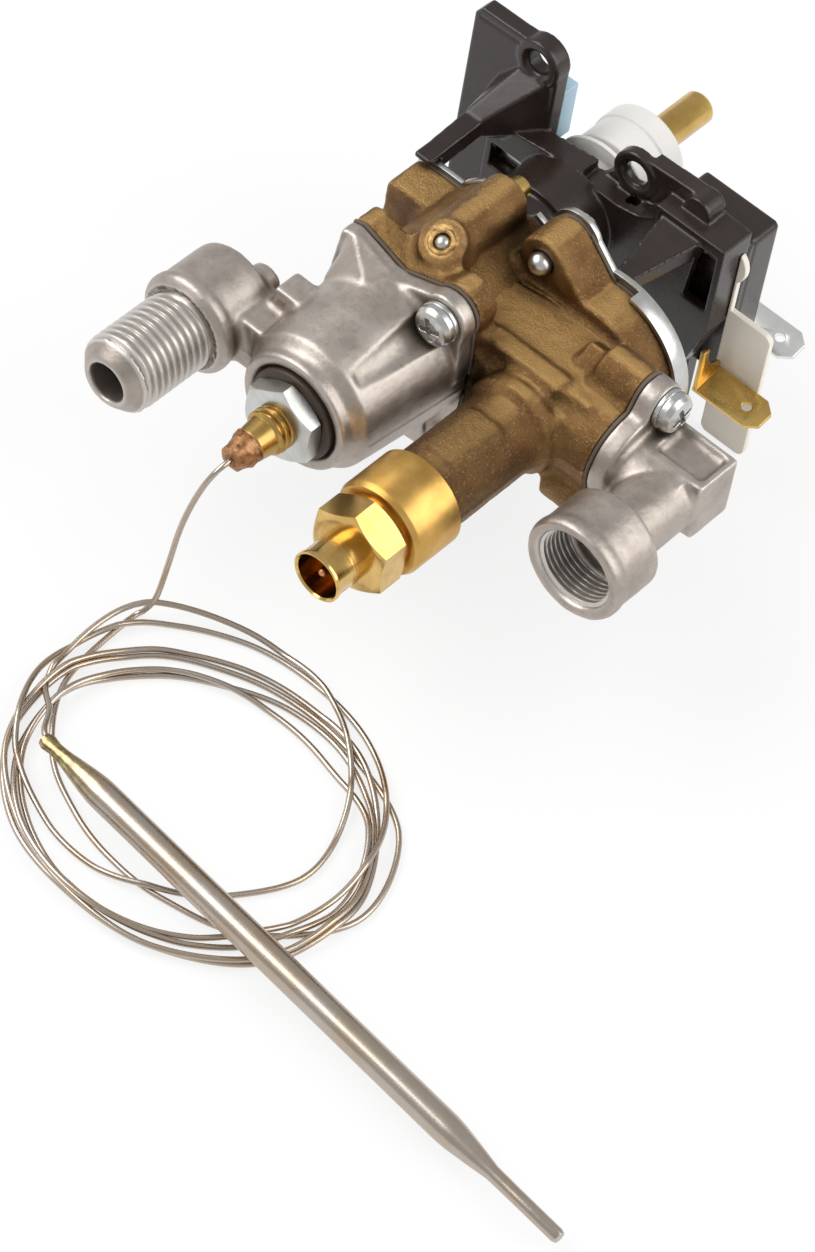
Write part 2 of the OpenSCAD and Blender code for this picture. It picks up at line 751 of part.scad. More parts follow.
module thermostat_housing() {
    flange_back = housing_y - housing_flange_t;
    arm_y = outlet_y - 3;
    front_r = housing_r - 1.8;
    groove_end = housing_end + 2.5;
    color("lightgray") on_body() difference() {
        union() {
            housing_flange(flange_back, housing_y);
            cone_y(front_r, housing_r, housing_end + 1.4, housing_y);
            cone_y(front_r - 1.4, front_r, housing_end, housing_end + 1.4);
            rod_y(10.7, boss_end + 0.4, housing_end + joint_lap);
            cone_y(10.3, 10.7, boss_end, boss_end + 0.4);
            for (s = [0, 1]) rotate([0, s * 180, 0]) hull() {
                translate([-9.6, flange_back + 0.6, 16]) sphere(r = 1, $fn = 24);
                translate([-1, flange_back + 0.6, 12.6]) sphere(r = 1, $fn = 24);
                translate([-10.6, flange_back - 3.4, 8.6]) sphere(r = 1, $fn = 24);
                translate([-3, flange_back - 3.4, 12]) sphere(r = 1, $fn = 24);
            }
            hull() {
                at(-outlet_x, 0) rod_y(8.6, arm_y - 4.6, arm_y + 4.4);
                translate([-outlet_x - 6.4, arm_y + 1, -5.6]) cube([12.8, 3.4, 11.2]);
            }
            translate([-outlet_x, arm_y - 3.6, -5]) cube([outlet_x - 10, 8, 10]);
            at(-outlet_x, 0) rod_y(8.7, flare_base + 1, arm_y + 3);
            at(-outlet_x, 0) rod_y(9.1, flare_base + 0.8, flare_base + 2.4);
            at(-outlet_x, 0) cone_y(7.6, 9.1, flare_base - 0.4, flare_base + 0.8);
            at(-outlet_x, 0) rod_y(flare_r, flare_end, flare_base + 1);
            at(-outlet_x, 0) cone_y(4.4, flare_r, flare_end - nose_len, flare_end);
            at(-outlet_x + 3.6, 3) rod_y(3, arm_y + 3, arm_y + 7.6);
            translate([-15.2, arm_y + 2.6, 2]) cube([7, 5.4, 6.8]);
        }
        rod_y(housing_bore_r, housing_end + 2, housing_y + 1);
        rod_y(stem_r + 0.06, boss_end - 1, housing_end + 3);
        rod_y(8.7, boss_end - 1, boss_end + 1);
        at(-outlet_x, 0) rod_y(outlet_bore_r, flare_end - nose_len - 1, outlet_y + 3);
        translate([0, outlet_y - 1, 0]) rod_x(outlet_bore_r, -outlet_x, -housing_bore_r + 2);
        slab_y(flange_back - 1, housing_y + 1) housing_holes(2.1);
        for (s = [0, 1]) rotate([0, s * 180, 0]) at(screw_pos[0], screw_pos[1])
            rod_y(4.1, groove_end, flange_back);
    }
}

module housing_screws() {
    under = housing_y - housing_flange_t - 0.9;
    color("silver") on_body() for (s = [-1, 1])
        at(s * screw_pos[0], s * screw_pos[1]) translate([0, under, 0]) rotate([0, 0, 180])
            pan_screw(3.6, 2.4, 1.85, 7.6);
}

module housing_washers() {
    color("silver") on_body() for (s = [-1, 1])
        at(s * screw_pos[0], s * screw_pos[1])
            translate([0, housing_y - housing_flange_t - 0.9, 0]) spring_washer(2, 3.7, 0.9);
}

module thermostat_seat() {
    color("gold") on_body() difference() {
        rod_y(housing_bore_r - 0.02, housing_seat_y - 2, housing_seat_y);
        rod_y(4.6, housing_seat_y - 3, housing_seat_y + 1);
    }
}

module thermostat_disc() {
    color("gold") on_body() {
        cone_y(disc_plate_r - 3, disc_plate_r - 4.4, disc_nose - 2, disc_nose);
        rod_y(disc_plate_r, disc_nose - 3.2, disc_nose - 2);
        rod_y(2.2, disc_nose - 4.2, disc_nose - 3.2);
    }
}

module disc_spring() {
    color("silver") on_body()
        coil_spring(spring_mid_r, 0.35, disc_nose - 1.95, housing_seat_y - 2.05, 3);
}

module expansion_capsule() {
    back_y = housing_end + 2.05;
    rim_y = capsule_front - 1.6;
    color("silver") on_body() turned_y([[0, capsule_front], [capsule_r - 6.2, capsule_front],
        [capsule_r - 5.8, capsule_front - 0.4], [capsule_r - 3.2, capsule_front - 0.6],
        [capsule_r, rim_y], [capsule_r, rim_y - 0.6], [capsule_r - 3.2, rim_y - 1.4],
        [capsule_neck_r, rim_y - 1.8], [capsule_neck_r, back_y], [0, back_y]]);
}

module thermostat_stem() {
    thread_end = nut_face - lock_nut_t - 3;
    color("goldenrod") on_body() {
        rod_y(stem_r, thread_end, housing_end + 2.05);
        cone_y(2.9, 3.4, stem_end, thread_end);
    }
}

module stem_washer() {
    color("#4a2c20") on_body() difference() {
        rod_y(8.2, nut_face, washer_face);
        rod_y(stem_r + 0.06, nut_face - 1, washer_face + 1);
    }
}

module lock_nut() {
    color("silver") on_body() difference() {
        intersection() {
            hex_y(lock_nut_af, nut_face - lock_nut_t, nut_face);
            turned_y([[0, nut_face - lock_nut_t], [lock_nut_af * 0.49, nut_face - lock_nut_t],
                [lock_nut_af * 0.6, nut_face - lock_nut_t + 0.8], [lock_nut_af * 0.6, nut_face],
                [0, nut_face]]);
        }
        rod_y(stem_r + 0.04, nut_face - lock_nut_t - 1, nut_face + 1);
    }
}

module stem_braze() {
    color("#8b4a20") on_body() turned_y([[0, stem_end], [2.7, stem_end], [2.9, stem_end - 1],
        [2.5, stem_end - 3.4], [1.9, braze_end], [0, braze_end]]);
}

// ---- gas inlet ----
module elbow_gasket() {
    color("dimgray") on_body() slab_x(lug_x, elbow_face) difference() {
        elbow_outline();
        translate([-inlet_y - 1, 0]) circle(r = 4.4);
        elbow_holes(1.9);
    }
}

module inlet_elbow() {
    box_low = -19;
    box_high = -9.6;
    box_z = 6;
    flange_out = elbow_face + elbow_flange_t;
    box_out = inlet_x + 5.9;
    color("lightgray") on_body() difference() {
        union() {
            slab_x(elbow_face, flange_out) elbow_outline();
            translate([elbow_face, box_low, -box_z])
                cube([box_out - elbow_face, box_high - box_low, 2 * box_z]);
            translate([0, -inlet_y - 2, 0]) rod_x(5.8, elbow_face, inlet_x + 3);
            at(inlet_x, 0) rod_y(5.9, neck_end - joint_lap, box_low + 4);
            at(inlet_x, 0) cone_y(7.6, 5.9, neck_end - joint_lap, neck_end + 1.2);
            at(inlet_x, 0) rod_y(inlet_collar_r, inlet_end, neck_end);
        }
        translate([flange_out + 3, box_low + 1.6, box_z - 1.3])
            cube([inlet_x - flange_out + 1.7, box_high - box_low - 2.8, 3]);
        at(inlet_x, 0) rod_y(inlet_bore_r, inlet_end - 1, inlet_end + inlet_depth);
        at(inlet_x, 0) rod_y(4, inlet_end, -inlet_y + 1);
        at(inlet_x, 0) cone_y(inlet_bore_r + 0.8, inlet_bore_r - 0.2, inlet_end - 0.2,
            inlet_end + 0.8);
        translate([0, -inlet_y - 1, 0]) rod_x(3.6, elbow_face - 1, inlet_x + 1);
        slab_x(elbow_face - 1, flange_out + 1) elbow_holes(1.9);
        for (s = [-1, 1]) translate([0, -inlet_y + s * ear_y, s * ear_z])
            rod_x(4.2, flange_out, inlet_x);
    }
}

module elbow_screws() {
    color("silver") on_body() for (s = [-1, 1])
        translate([elbow_face + elbow_flange_t + 0.9, -inlet_y + s * ear_y, s * ear_z])
            rotate([0, 0, -90]) pan_screw(3.5, 2.6, 1.65, 8);
}

module elbow_washers() {
    color("silver") on_body() for (s = [-1, 1])
        translate([elbow_face + elbow_flange_t, -inlet_y + s * ear_y, s * ear_z])
            rotate([0, 0, -90]) spring_washer(1.8, 3.6, 0.9);
}

// ---- switches and their carrier ----
left_ear = [-12.9, 21.1];
right_ear = [9.6, 13.1];

module carrier_wall() {
    polygon([[wall_left, 22.4], [-25.4, 24.2], [-15.5, 24.4], [-8.6, 20], [-8.6, 2.5],
        [-2.7, 2.5], [5, 9.8], [8, 17.2], [23, 18], [25, 15], [wall_right, 14.8],
        [wall_right, -4], [27, -16], [27, floor_z], [wall_left, floor_z]]);
    translate(left_ear) circle(r = 4.4);
    translate(right_ear) circle(r = 4.4);
    translate([22.9, 15.5]) circle(r = 2.5);
}

module switch_carrier() {
    window = [8.7, 5];
    foot_y = gasket_t + bonnet_t + free_gap;
    color("#2b2626") on_body() difference() {
        union() {
            slab_y(wall_y, back_y) carrier_wall();
            rod_y(boss_r, boss_y, carrier_y + joint_lap);
            rod_y(boss_tip_r, boss_tip_y, boss_y + joint_lap);
            slab_y(carrier_y, wall_y + joint_lap) {
                polygon([[-17.4, -9], [-17.4, 7.6], [2, 10.3], [2, -9]]);
                polygon([[1.5, -9], [1.5, 8.6], [5.4, 8.9], [9.6, 8.7], [14, 9.6], [17, 11.6],
                    [17, 14.8], [wall_right, 14.8], [wall_right, -4], [28, -15], [20, -15], [8, -9]]);
            }
            hull() {
                translate([-19.7, foot_y, 5.8]) cube([3.3, 2, 3.6]);
                translate([-19.7, 11, 7]) cube([3.6, 1, 3.4]);
            }
            hull() {
                translate([-19.7, 11, 7]) cube([3.6, 1, 3.4]);
                slab_y(wall_y, wall_y + 1) polygon([[-21.4, 4], [-21.4, 9.1], [-19.6, 13.7],
                    [-15.8, 18.6], [-10, 18.6], [-9, 8], [-12, 4]]);
            }
            translate([-19.7, -1.2, block_z + 0.8]) cube([3.3, 4, 1.1]);
            hull() {
                translate([20.2, foot_y, 7.9]) cube([2.8, 1, 3.1]);
                translate([18.4, carrier_y, 10]) cube([8.4, 1, 3.6]);
            }
        }
        rod_y(sleeve_r + 0.6, boss_tip_y - 1, back_y + 1);
        translate([-16.2, carrier_y - 1, -2]) cube([window[0], frame_t, window[1]]);
        rod_y(collar_r + 0.9, recess_y, back_y + 1);
        translate([0, recess_y, -3.4]) cube([22, 3, 6.8]);
        slab_y(carrier_y - 1, wall_y - 1.6)
            polygon([[25.4, 0], [26.4, 12.6], [30, 12.6], [30, 0]]);
        slab_y(carrier_y + 1.8, wall_y) polygon([[10, -12], [10, 9], [29, 9], [29, -12]]);
        for (p = [left_ear, right_ear]) at(p[0], p[1]) rod_y(eyelet_r, wall_y - 1, back_y + 1);
    }
}

module main_switch() {
    box_left = 15.6;
    box_top = 11.3;
    box_back = 30;
    color("#2b2626") on_body() difference() {
        slab_y(back_y, box_back) round_box(box_left, -20, wall_right, box_top, 1.2);
        translate([box_left - 1, back_y - 1, -3.4]) cube([8, slide_travel + slide_t + 0.6, 6.8]);
    }
}

module lamp_switch() {
    color("lightblue") on_body() slab_y(back_y, back_y + 3.9)
        round_box(-15.4, 3.6, -8.9, 14.9, 0.3);
}

module switch_slide() {
    color("ivory") on_body() slab_y(slide_y, slide_y + slide_t) difference() {
        union() {
            circle(r = collar_r + 0.6);
            translate([0, -2.8]) square([21, 5.6]);
        }
        circle(r = sleeve_r + 0.4);
    }
}

module insulating_plate() {
    left = wall_right + 0.1;
    color("beige") on_body() slab_y(plate_y, plate_y + 1.2) {
        round_box(left, floor_z, plate_right, -2, 1.5);
        translate([left, floor_z + 3]) square([4, -floor_z - 5]);
        intersection() {
            translate([left - 2.6, 7.4]) circle(r = 4.2);
            translate([left, -3]) square([6, 20]);
        }
        translate([left, -4]) square([0.5, 9]);
    }
}

module front_terminal() {
    root_x = wall_right + 0.8;
    low_z = -16.2;
    color("goldenrod") on_body() translate([0, -0.2, 0]) {
        translate([root_x, plate_y - spade_w, low_z]) difference() {
            cube([spade_t, spade_w - 0.5, 9.4]);
            translate([-1, spade_w + 0.6, 8.6]) rod_x(5.4, 0, 4);
        }
        translate([root_x, plate_y - spade_w, low_z]) rotate([11, 0, 0])
            slab_z(0, spade_t) difference() {
                polygon([[0, 0], [11, 0], [13, 1.6], [13, spade_w - 1.6], [11, spade_w],
                    [0, spade_w]]);
                translate([9, spade_w / 2]) circle(r = 0.9);
            }
    }
}

module rear_terminal() {
    color("silver") on_body() translate([26, 30, -17]) rotate([11, 0, 0]) slab_z(0, spade_t)
        difference() {
            polygon([[0, 0], [11, 0], [13, 1.6], [13, spade_w - 1.6], [11, spade_w],
                [0, spade_w]]);
            translate([9, spade_w / 2]) circle(r = 0.9);
        }
}

// ---- capillary and sensing bulb ----
module capillary_tube() {
    color("#b8a898") on_body() translate([0, braze_end, 0]) swept_tube(tube_route, capillary_d);
}

module capillary_coil() {
    color("#b8a898") on_body() translate([coil_x, coil_y, floor_z]) rotate_extrude()
        translate([coil_in_r, 0]) square([coil_out_r - coil_in_r, coil_h]);
}

module sensing_bulb() {
    r = bulb_d / 2;
    color("silver") on_body() translate([bulb_x, bulb_y, floor_z + bulb_lift])
        rotate([0, 0, bulb_turn]) rotate([0, 90 + bulb_tilt, 0]) rotate_extrude()
            polygon([[0, -bulb_neck], [1.2, -bulb_neck], [1.2, -bulb_neck + 3], [r, 0],
                [r, bulb_len], [1.2, bulb_len + 9], [1.2, bulb_len + 22], [0, bulb_len + 22]]);
}

valve_body();
passage_ball();
bonnet_gasket();
bonnet_plate();
bonnet_screws();
bonnet_bush();
shaft_seal();
rod_seal();
bypass_screw();
bypass_seal();
tapered_plug();
setting_spindle();
plug_spring();
shaft();
cam_collar();
shaft_clip();
shaft_spring();
push_yoke();
push_rod();
valve_disc();
armature();
armature_spring();
magnet_can();
magnet_core();
magnet_coils();
magnet_sleeve();
magnet_seal();
magnet_body();
contact_insulator();
contact_pin();
housing_gasket();
thermostat_housing();
housing_screws();
housing_washers();
thermostat_seat();
thermostat_disc();
disc_spring();
expansion_capsule();
thermostat_stem();
stem_washer();
lock_nut();
stem_braze();
elbow_gasket();
inlet_elbow();
elbow_screws();
elbow_washers();
switch_carrier();
main_switch();
lamp_switch();
switch_slide();
insulating_plate();
front_terminal();
rear_terminal();
capillary_tube();
capillary_coil();
sensing_bulb();
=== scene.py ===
"""Looks of the gas tap: cast, turned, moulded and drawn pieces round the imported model."""
import json
import math
import bpy
import bmesh
import numpy as np
from mathutils import Matrix, Vector, noise


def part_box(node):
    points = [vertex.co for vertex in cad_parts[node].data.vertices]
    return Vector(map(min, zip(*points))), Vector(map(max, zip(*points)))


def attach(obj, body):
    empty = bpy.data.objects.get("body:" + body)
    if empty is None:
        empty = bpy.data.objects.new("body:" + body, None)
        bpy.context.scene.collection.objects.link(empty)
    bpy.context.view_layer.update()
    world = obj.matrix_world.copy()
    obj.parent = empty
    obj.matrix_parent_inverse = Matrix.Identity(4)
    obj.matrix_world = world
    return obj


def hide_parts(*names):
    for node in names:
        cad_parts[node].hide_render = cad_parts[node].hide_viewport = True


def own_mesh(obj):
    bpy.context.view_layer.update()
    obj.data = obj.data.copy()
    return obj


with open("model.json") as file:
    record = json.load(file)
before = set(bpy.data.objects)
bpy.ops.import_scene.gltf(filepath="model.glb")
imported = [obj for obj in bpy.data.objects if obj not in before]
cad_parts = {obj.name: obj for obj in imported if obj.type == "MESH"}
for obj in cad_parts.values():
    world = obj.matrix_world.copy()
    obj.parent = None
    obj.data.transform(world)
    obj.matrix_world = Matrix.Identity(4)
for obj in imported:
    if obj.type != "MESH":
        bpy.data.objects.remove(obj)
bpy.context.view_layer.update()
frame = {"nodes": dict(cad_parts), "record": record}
NODES = frame["nodes"]
RECORD = frame["record"]
SLOTS = {part["node"]: part["material_slot"] for part in RECORD["subparts"]}
BODY_OF = {node: body for body, nodes in RECORD["behaviour"]["bodies"].items()
           for node in nodes}

# Sizes below are in millimetres, and places are in body coordinates, where y = 0 is the
# bonnet's joint face. The camera and the materials' fades are placed in the part's frame,
# and so are the floor and the lamps, in metres.
MM = 0.001
JOINT_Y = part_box("bonnet_gasket")[0].y / MM
FLOOR_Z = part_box("capillary_coil")[0].z / MM


def mm_box(node):
    """Lowest and highest corner of a CAD node in millimetres, in body coordinates."""
    low, high = (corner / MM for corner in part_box(node))
    return low - Vector((0, JOINT_Y, 0)), high - Vector((0, JOINT_Y, 0))


def middle(node):
    """The middle of a CAD node's box, in body coordinates."""
    low, high = mm_box(node)
    return (low + high) / 2


# Where the axes of the magnet unit, the outlet and the elbow's collar lie along X
MAGNET_X = middle("magnet_sleeve").x
OUTLET_X = -24.0
INLET_X = 50.9

# ---------------------------------------------------------------- camera


def make_camera():
    """A long lens above the front left, turned a little, with no shift."""
    azimuth, elevation, roll = (math.radians(a) for a in (33.59, 50.59, 10.73))
    distance, lens = 827.0, 156.6
    aim = Vector((40.84, -104.98, 0))
    back = Vector((math.sin(azimuth) * math.cos(elevation),
                   -math.cos(azimuth) * math.cos(elevation), math.sin(elevation)))
    level = Vector((math.cos(azimuth), math.sin(azimuth), 0))
    upright = back.cross(level)
    right = level * math.cos(roll) + upright * math.sin(roll)
    up = back.cross(right)
    place = (aim + back * distance) * MM
    camera = bpy.data.cameras.new("camera")
    camera.sensor_fit = "AUTO"
    camera.sensor_width = 36
    camera.lens = lens
    camera.clip_start, camera.clip_end = 0.01, 20
    seen = bpy.data.objects.new("camera", camera)
    seen.matrix_world = Matrix([[right.x, up.x, back.x, place.x],
                                [right.y, up.y, back.y, place.y],
                                [right.z, up.z, back.z, place.z],
                                [0, 0, 0, 1]])
    bpy.context.scene.collection.objects.link(seen)
    bpy.context.scene.camera = seen


# ---------------------------------------------------------------- materials


class Graph:
    """A small helper that builds one node material, in the object's own coordinates."""

    def __init__(self, name):
        self.material = bpy.data.materials.new(name)
        self.material.use_nodes = True
        self.tree = self.material.node_tree
        self.shader = self.tree.nodes["Principled BSDF"]
        self.place = self.tree.nodes.new("ShaderNodeTexCoord").outputs["Object"]

    def node(self, kind, inputs=None, **settings):
        """A new shader node with its settings, its inputs set or linked."""
        made = self.tree.nodes.new("ShaderNode" + kind)
        for key, value in settings.items():
            setattr(made, key, value)
        for key, value in (inputs or {}).items():
            self.set(made.inputs[key], value)
        return made

    def set(self, socket, value):
        """Links the socket to another one, or gives it a plain value."""
        if isinstance(value, bpy.types.NodeSocket):
            self.tree.links.new(value, socket)
        else:
            socket.default_value = value

    def part(self, output, axis):
        """One component of the object's own coordinates or normals."""
        source = self.place.node.outputs[output]
        return self.node("SeparateXYZ", {0: source}).outputs[axis]

    def noise(self, size_mm, detail, rough, place=None):
        """Noise whose blotches are about size_mm wide."""
        made = self.node("TexNoise", {"Vector": place or self.place,
                                      "Scale": 1 / (size_mm * MM),
                                      "Detail": detail, "Roughness": rough})
        return made.outputs["Fac"]

    def stretched(self, scale):
        """The object's coordinates times scale; a small scale draws a pattern out."""
        return self.node("Mapping", {"Vector": self.place, "Scale": scale}).outputs["Vector"]

    def ramp(self, value, stops):
        """A straight blend between stops, each a value and its colour or grey level."""
        made = self.node("ValToRGB", {"Fac": value})
        bar = made.color_ramp
        while len(bar.elements) < len(stops):
            bar.elements.new(0.5)
        for element, (spot, colour) in zip(bar.elements, stops):
            element.position = spot
            levels = colour if isinstance(colour, tuple) else (colour,) * 3
            element.color = (*levels, 1)
        return made.outputs["Color"]

    def mix(self, share, first, second):
        """The first colour where share is 0 and the second where it is 1."""
        made = self.node("Mix", data_type="RGBA")
        for socket, value in zip((made.inputs[0], made.inputs[6], made.inputs[7]),
                                 (share, first, second)):
            if isinstance(value, tuple):
                value = (*value, 1)
            self.set(socket, value)
        return made.outputs[2]

    def math(self, kind, first, second):
        """The two values joined by one operation."""
        made = self.node("Math", operation=kind)
        self.set(made.inputs[0], first)
        self.set(made.inputs[1], second)
        return made.outputs[0]

    def scaled(self, value, low, high):
        """A 0 to 1 value brought to the range low to high."""
        inputs = {"Value": value, "To Min": low, "To Max": high}
        return self.node("MapRange", inputs).outputs[0]

    def fading(self, axis, start_mm, end_mm, high=1.0):
        """0 at one place along an axis of the object, rising to high at the other."""
        inputs = {"Value": self.part("Object", axis), "From Min": start_mm * MM,
                  "From Max": end_mm * MM, "To Max": high}
        return self.node("MapRange", inputs).outputs[0]

    def hollows(self, reach_mm, low, high):
        """0 in hollows and 1 on open faces; low and high are shares of open sky."""
        sky = self.node("AmbientOcclusion", {"Distance": reach_mm * MM}, samples=6)
        return self.ramp(sky.outputs["AO"], [(low, 0.0), (high, 1.0)])

    def edge_wear_and_sheen(self, reach_mm, low, high):
        """1 on edges, found by looking into the solid, so single vertices leave no dots."""
        inner = self.node("AmbientOcclusion", {"Distance": reach_mm * MM}, samples=8,
                          inside=True)
        return self.ramp(inner.outputs["AO"], [(low, 1.0), (high, 0.0)])

    def bump(self, height, depth_mm, strength, under=None):
        """A normal for a skin of the given depth, on top of the bumps under it."""
        inputs = {"Height": height, "Distance": depth_mm * MM, "Strength": strength}
        if under is not None:
            inputs["Normal"] = under
        return self.node("Bump", inputs).outputs["Normal"]

    def finish(self, **inputs):
        """Sets the shader's inputs, named with _ for a space, and gives the material."""
        for key, value in inputs.items():
            socket = self.shader.inputs[key.replace("_", " ")]
            if isinstance(value, tuple) and len(value) == 3:
                value = (*value, 1)
            self.set(socket, value)
        return self.material


def cast_bronze():
    """Sand-cast bronze: brown skin, golden grains with painted glints, golden edges partly wear
    and partly a painted highlight, painted shade in hollows and towards the nose, a painted
    highlight on top faces.
    """
    g = Graph("cast_bronze")
    patches = g.noise(9, 5, 0.6)
    grain = g.noise(0.4, 4, 0.7)
    skin = g.mix(g.ramp(patches, [(0.35, 0.0), (0.65, 1.0)]),
                 (0.15, 0.074, 0.028), (0.27, 0.155, 0.058))
    # Painted highlight: faces that look up are mixed lighter and more golden.
    painted_top_light = g.ramp(g.part("Normal", "Z"), [(0.90, 0.0), (0.99, 1.0)])
    skin = g.mix(g.math("MULTIPLY", painted_top_light, 0.9), skin, (0.46, 0.28, 0.105))
    # Painted shade: the skin darkens towards the nose, at lower y, holding down its highlight.
    painted_nose_shade = g.fading("Y", -62, -72, 0.45)
    skin = g.mix(painted_nose_shade, skin, (0.07, 0.036, 0.018))
    # Painted shade: hollows, found by ambient occlusion, turn a deep brown.
    open_share = g.hollows(5, 0.42, 0.94)
    painted_shade_colour = g.mix(open_share, (0.040, 0.021, 0.010), skin)
    # Golden edges: partly wear, partly a painted highlight.
    blotches = g.ramp(g.noise(1.6, 4, 0.65), [(0.38, 0.1), (0.60, 1.0)])
    wear_and_painted_highlight = g.math("MULTIPLY", g.edge_wear_and_sheen(0.9, 0.66, 0.88), blotches)
    gold = g.mix(wear_and_painted_highlight, painted_shade_colour, (0.86, 0.56, 0.23))
    # Pale golden grains: partly the casting's own grain, partly painted glints, more of them on
    # open faces.
    painted_glints = g.ramp(grain, [(0.57, 0.0), (0.70, 1.0)])
    glints_on_open_faces = g.math("MULTIPLY", painted_glints, g.scaled(open_share, 0.08, 0.42))
    colour = g.mix(glints_on_open_faces, gold, (0.80, 0.52, 0.22))
    normal = g.bump(grain, 0.3, 0.7, g.bump(g.noise(2.6, 3, 0.5), 0.2, 0.35))
    rough = g.scaled(patches, 0.38, 0.54)
    return g.finish(Base_Color=colour, Metallic=0.9, Roughness=rough, Normal=normal)


def turned_brass(name="turned_brass", tint=(0.66, 0.46, 0.16), rough=(0.20, 0.34)):
    """Machined brass with fine rings left by the tool."""
    g = Graph(name)
    rings = g.noise(0.35, 2, 0.5, g.stretched((0.02, 1.0, 0.02)))
    stain = g.noise(7, 4, 0.6)
    pale = tuple(min(1.0, c * 1.18) for c in tint)
    deep = (tint[0] * 0.78, tint[1] * 0.70, tint[2] * 0.55)
    colour = g.mix(g.ramp(stain, [(0.35, 0.0), (0.7, 1.0)]), pale, deep)
    colour = g.mix(g.scaled(rings, 0.0, 0.35), colour, deep)
    spread = g.scaled(g.noise(3, 3, 0.6), *rough)
    return g.finish(Base_Color=colour, Metallic=1.0, Roughness=spread,
                    Normal=g.bump(rings, 0.03, 0.4))


def die_cast():
    """Die-cast aluminium: satin, faintly pitted, brighter on its edges, with painted brown
    shade in hollows.
    """
    g = Graph("die_cast")
    cloud = g.noise(8, 5, 0.65)
    base = g.mix(g.ramp(cloud, [(0.3, 0.0), (0.7, 1.0)]), (0.36, 0.31, 0.272),
                 (0.52, 0.465, 0.42))
    marks = g.ramp(g.noise(1.5, 5, 0.75), [(0.30, 0.35), (0.48, 0.0)])
    marked = g.mix(marks, base, (0.22, 0.185, 0.155))
    # Painted shade: hollows, found by ambient occlusion, turn brown.
    painted_shade_colour = g.mix(g.hollows(4, 0.35, 0.85), (0.15, 0.115, 0.085), marked)
    bright = g.math("MULTIPLY", g.edge_wear_and_sheen(0.8, 0.70, 0.92), 0.6)
    colour = g.mix(bright, painted_shade_colour, (0.82, 0.80, 0.77))
    rough = g.scaled(g.noise(4, 4, 0.6), 0.36, 0.50)
    normal = g.bump(g.noise(0.5, 4, 0.65), 0.09, 0.5)
    return g.finish(Base_Color=colour, Metallic=0.94, Roughness=rough, Normal=normal)


def zinc(name="zinc", tint=(0.60, 0.61, 0.61), stain_tint=(0.54, 0.53, 0.47)):
    """Zinc plate: bright, cool, with a faint yellow bloom."""
    g = Graph(name)
    bloom = g.ramp(g.noise(1.8, 3, 0.6), [(0.4, 0.0), (0.72, 1.0)])
    colour = g.mix(bloom, tint, stain_tint)
    rough = g.scaled(g.noise(1.2, 3, 0.6), 0.24, 0.36)
    return g.finish(Base_Color=colour, Metallic=1.0, Roughness=rough,
                    Normal=g.bump(g.noise(0.5, 3, 0.6), 0.04, 0.35))


def moulded(name, low, high, rough, peel_mm=0.03):
    """Moulded plastic with an orange peel of the given depth and flow marks."""
    g = Graph(name)
    flow = g.noise(6, 4, 0.6)
    colour = g.mix(g.ramp(flow, [(0.3, 0.0), (0.7, 1.0)]), low, high)
    roughness = g.scaled(g.noise(3, 4, 0.65), *rough)
    waves = g.bump(g.noise(7, 2, 0.5), 0.25, 0.25)
    normal = g.bump(g.noise(0.9, 3, 0.6), peel_mm, 0.4, waves)
    return g.finish(Base_Color=colour, Roughness=roughness, Normal=normal)


def drawn_steel(name="drawn_steel", tint=(0.50, 0.44, 0.385), burnt=None):
    """Drawn stainless tube: warm grey, drawn lines and faint brown heat tint.

    burnt gives two places along X in millimetres, between which a golden burn fades out.
    """
    g = Graph(name)
    heat = g.ramp(g.noise(12, 4, 0.6), [(0.40, 0.0), (0.75, 1.0)])
    colour = g.mix(heat, tint, (0.47, 0.36, 0.25))
    if burnt:
        near = g.fading("X", burnt[1], burnt[0])
        blotch = g.ramp(g.noise(1.6, 4, 0.7), [(0.40, (0.22, 0.14, 0.085)),
                                               (0.62, (0.50, 0.42, 0.20))])
        colour = g.mix(near, colour, blotch)
    rough = g.scaled(g.noise(1.0, 3, 0.6), 0.20, 0.34)
    lines = g.noise(0.3, 2, 0.5, g.stretched((0.1, 1, 1)))
    return g.finish(Base_Color=colour, Metallic=1.0, Roughness=rough,
                    Normal=g.bump(lines, 0.02, 0.4))


def brazing():
    """Brown brazing alloy with darker flux and copper patches."""
    g = Graph("brazing")
    patches = g.noise(1.6, 5, 0.7)
    colour = g.ramp(patches, [(0.30, (0.10, 0.045, 0.02)), (0.5, (0.36, 0.17, 0.07)),
                              (0.72, (0.62, 0.36, 0.20))])
    return g.finish(Base_Color=colour, Metallic=0.75, Roughness=g.scaled(patches, 0.25, 0.55),
                    Normal=g.bump(g.noise(0.5, 4, 0.7), 0.15, 0.6))


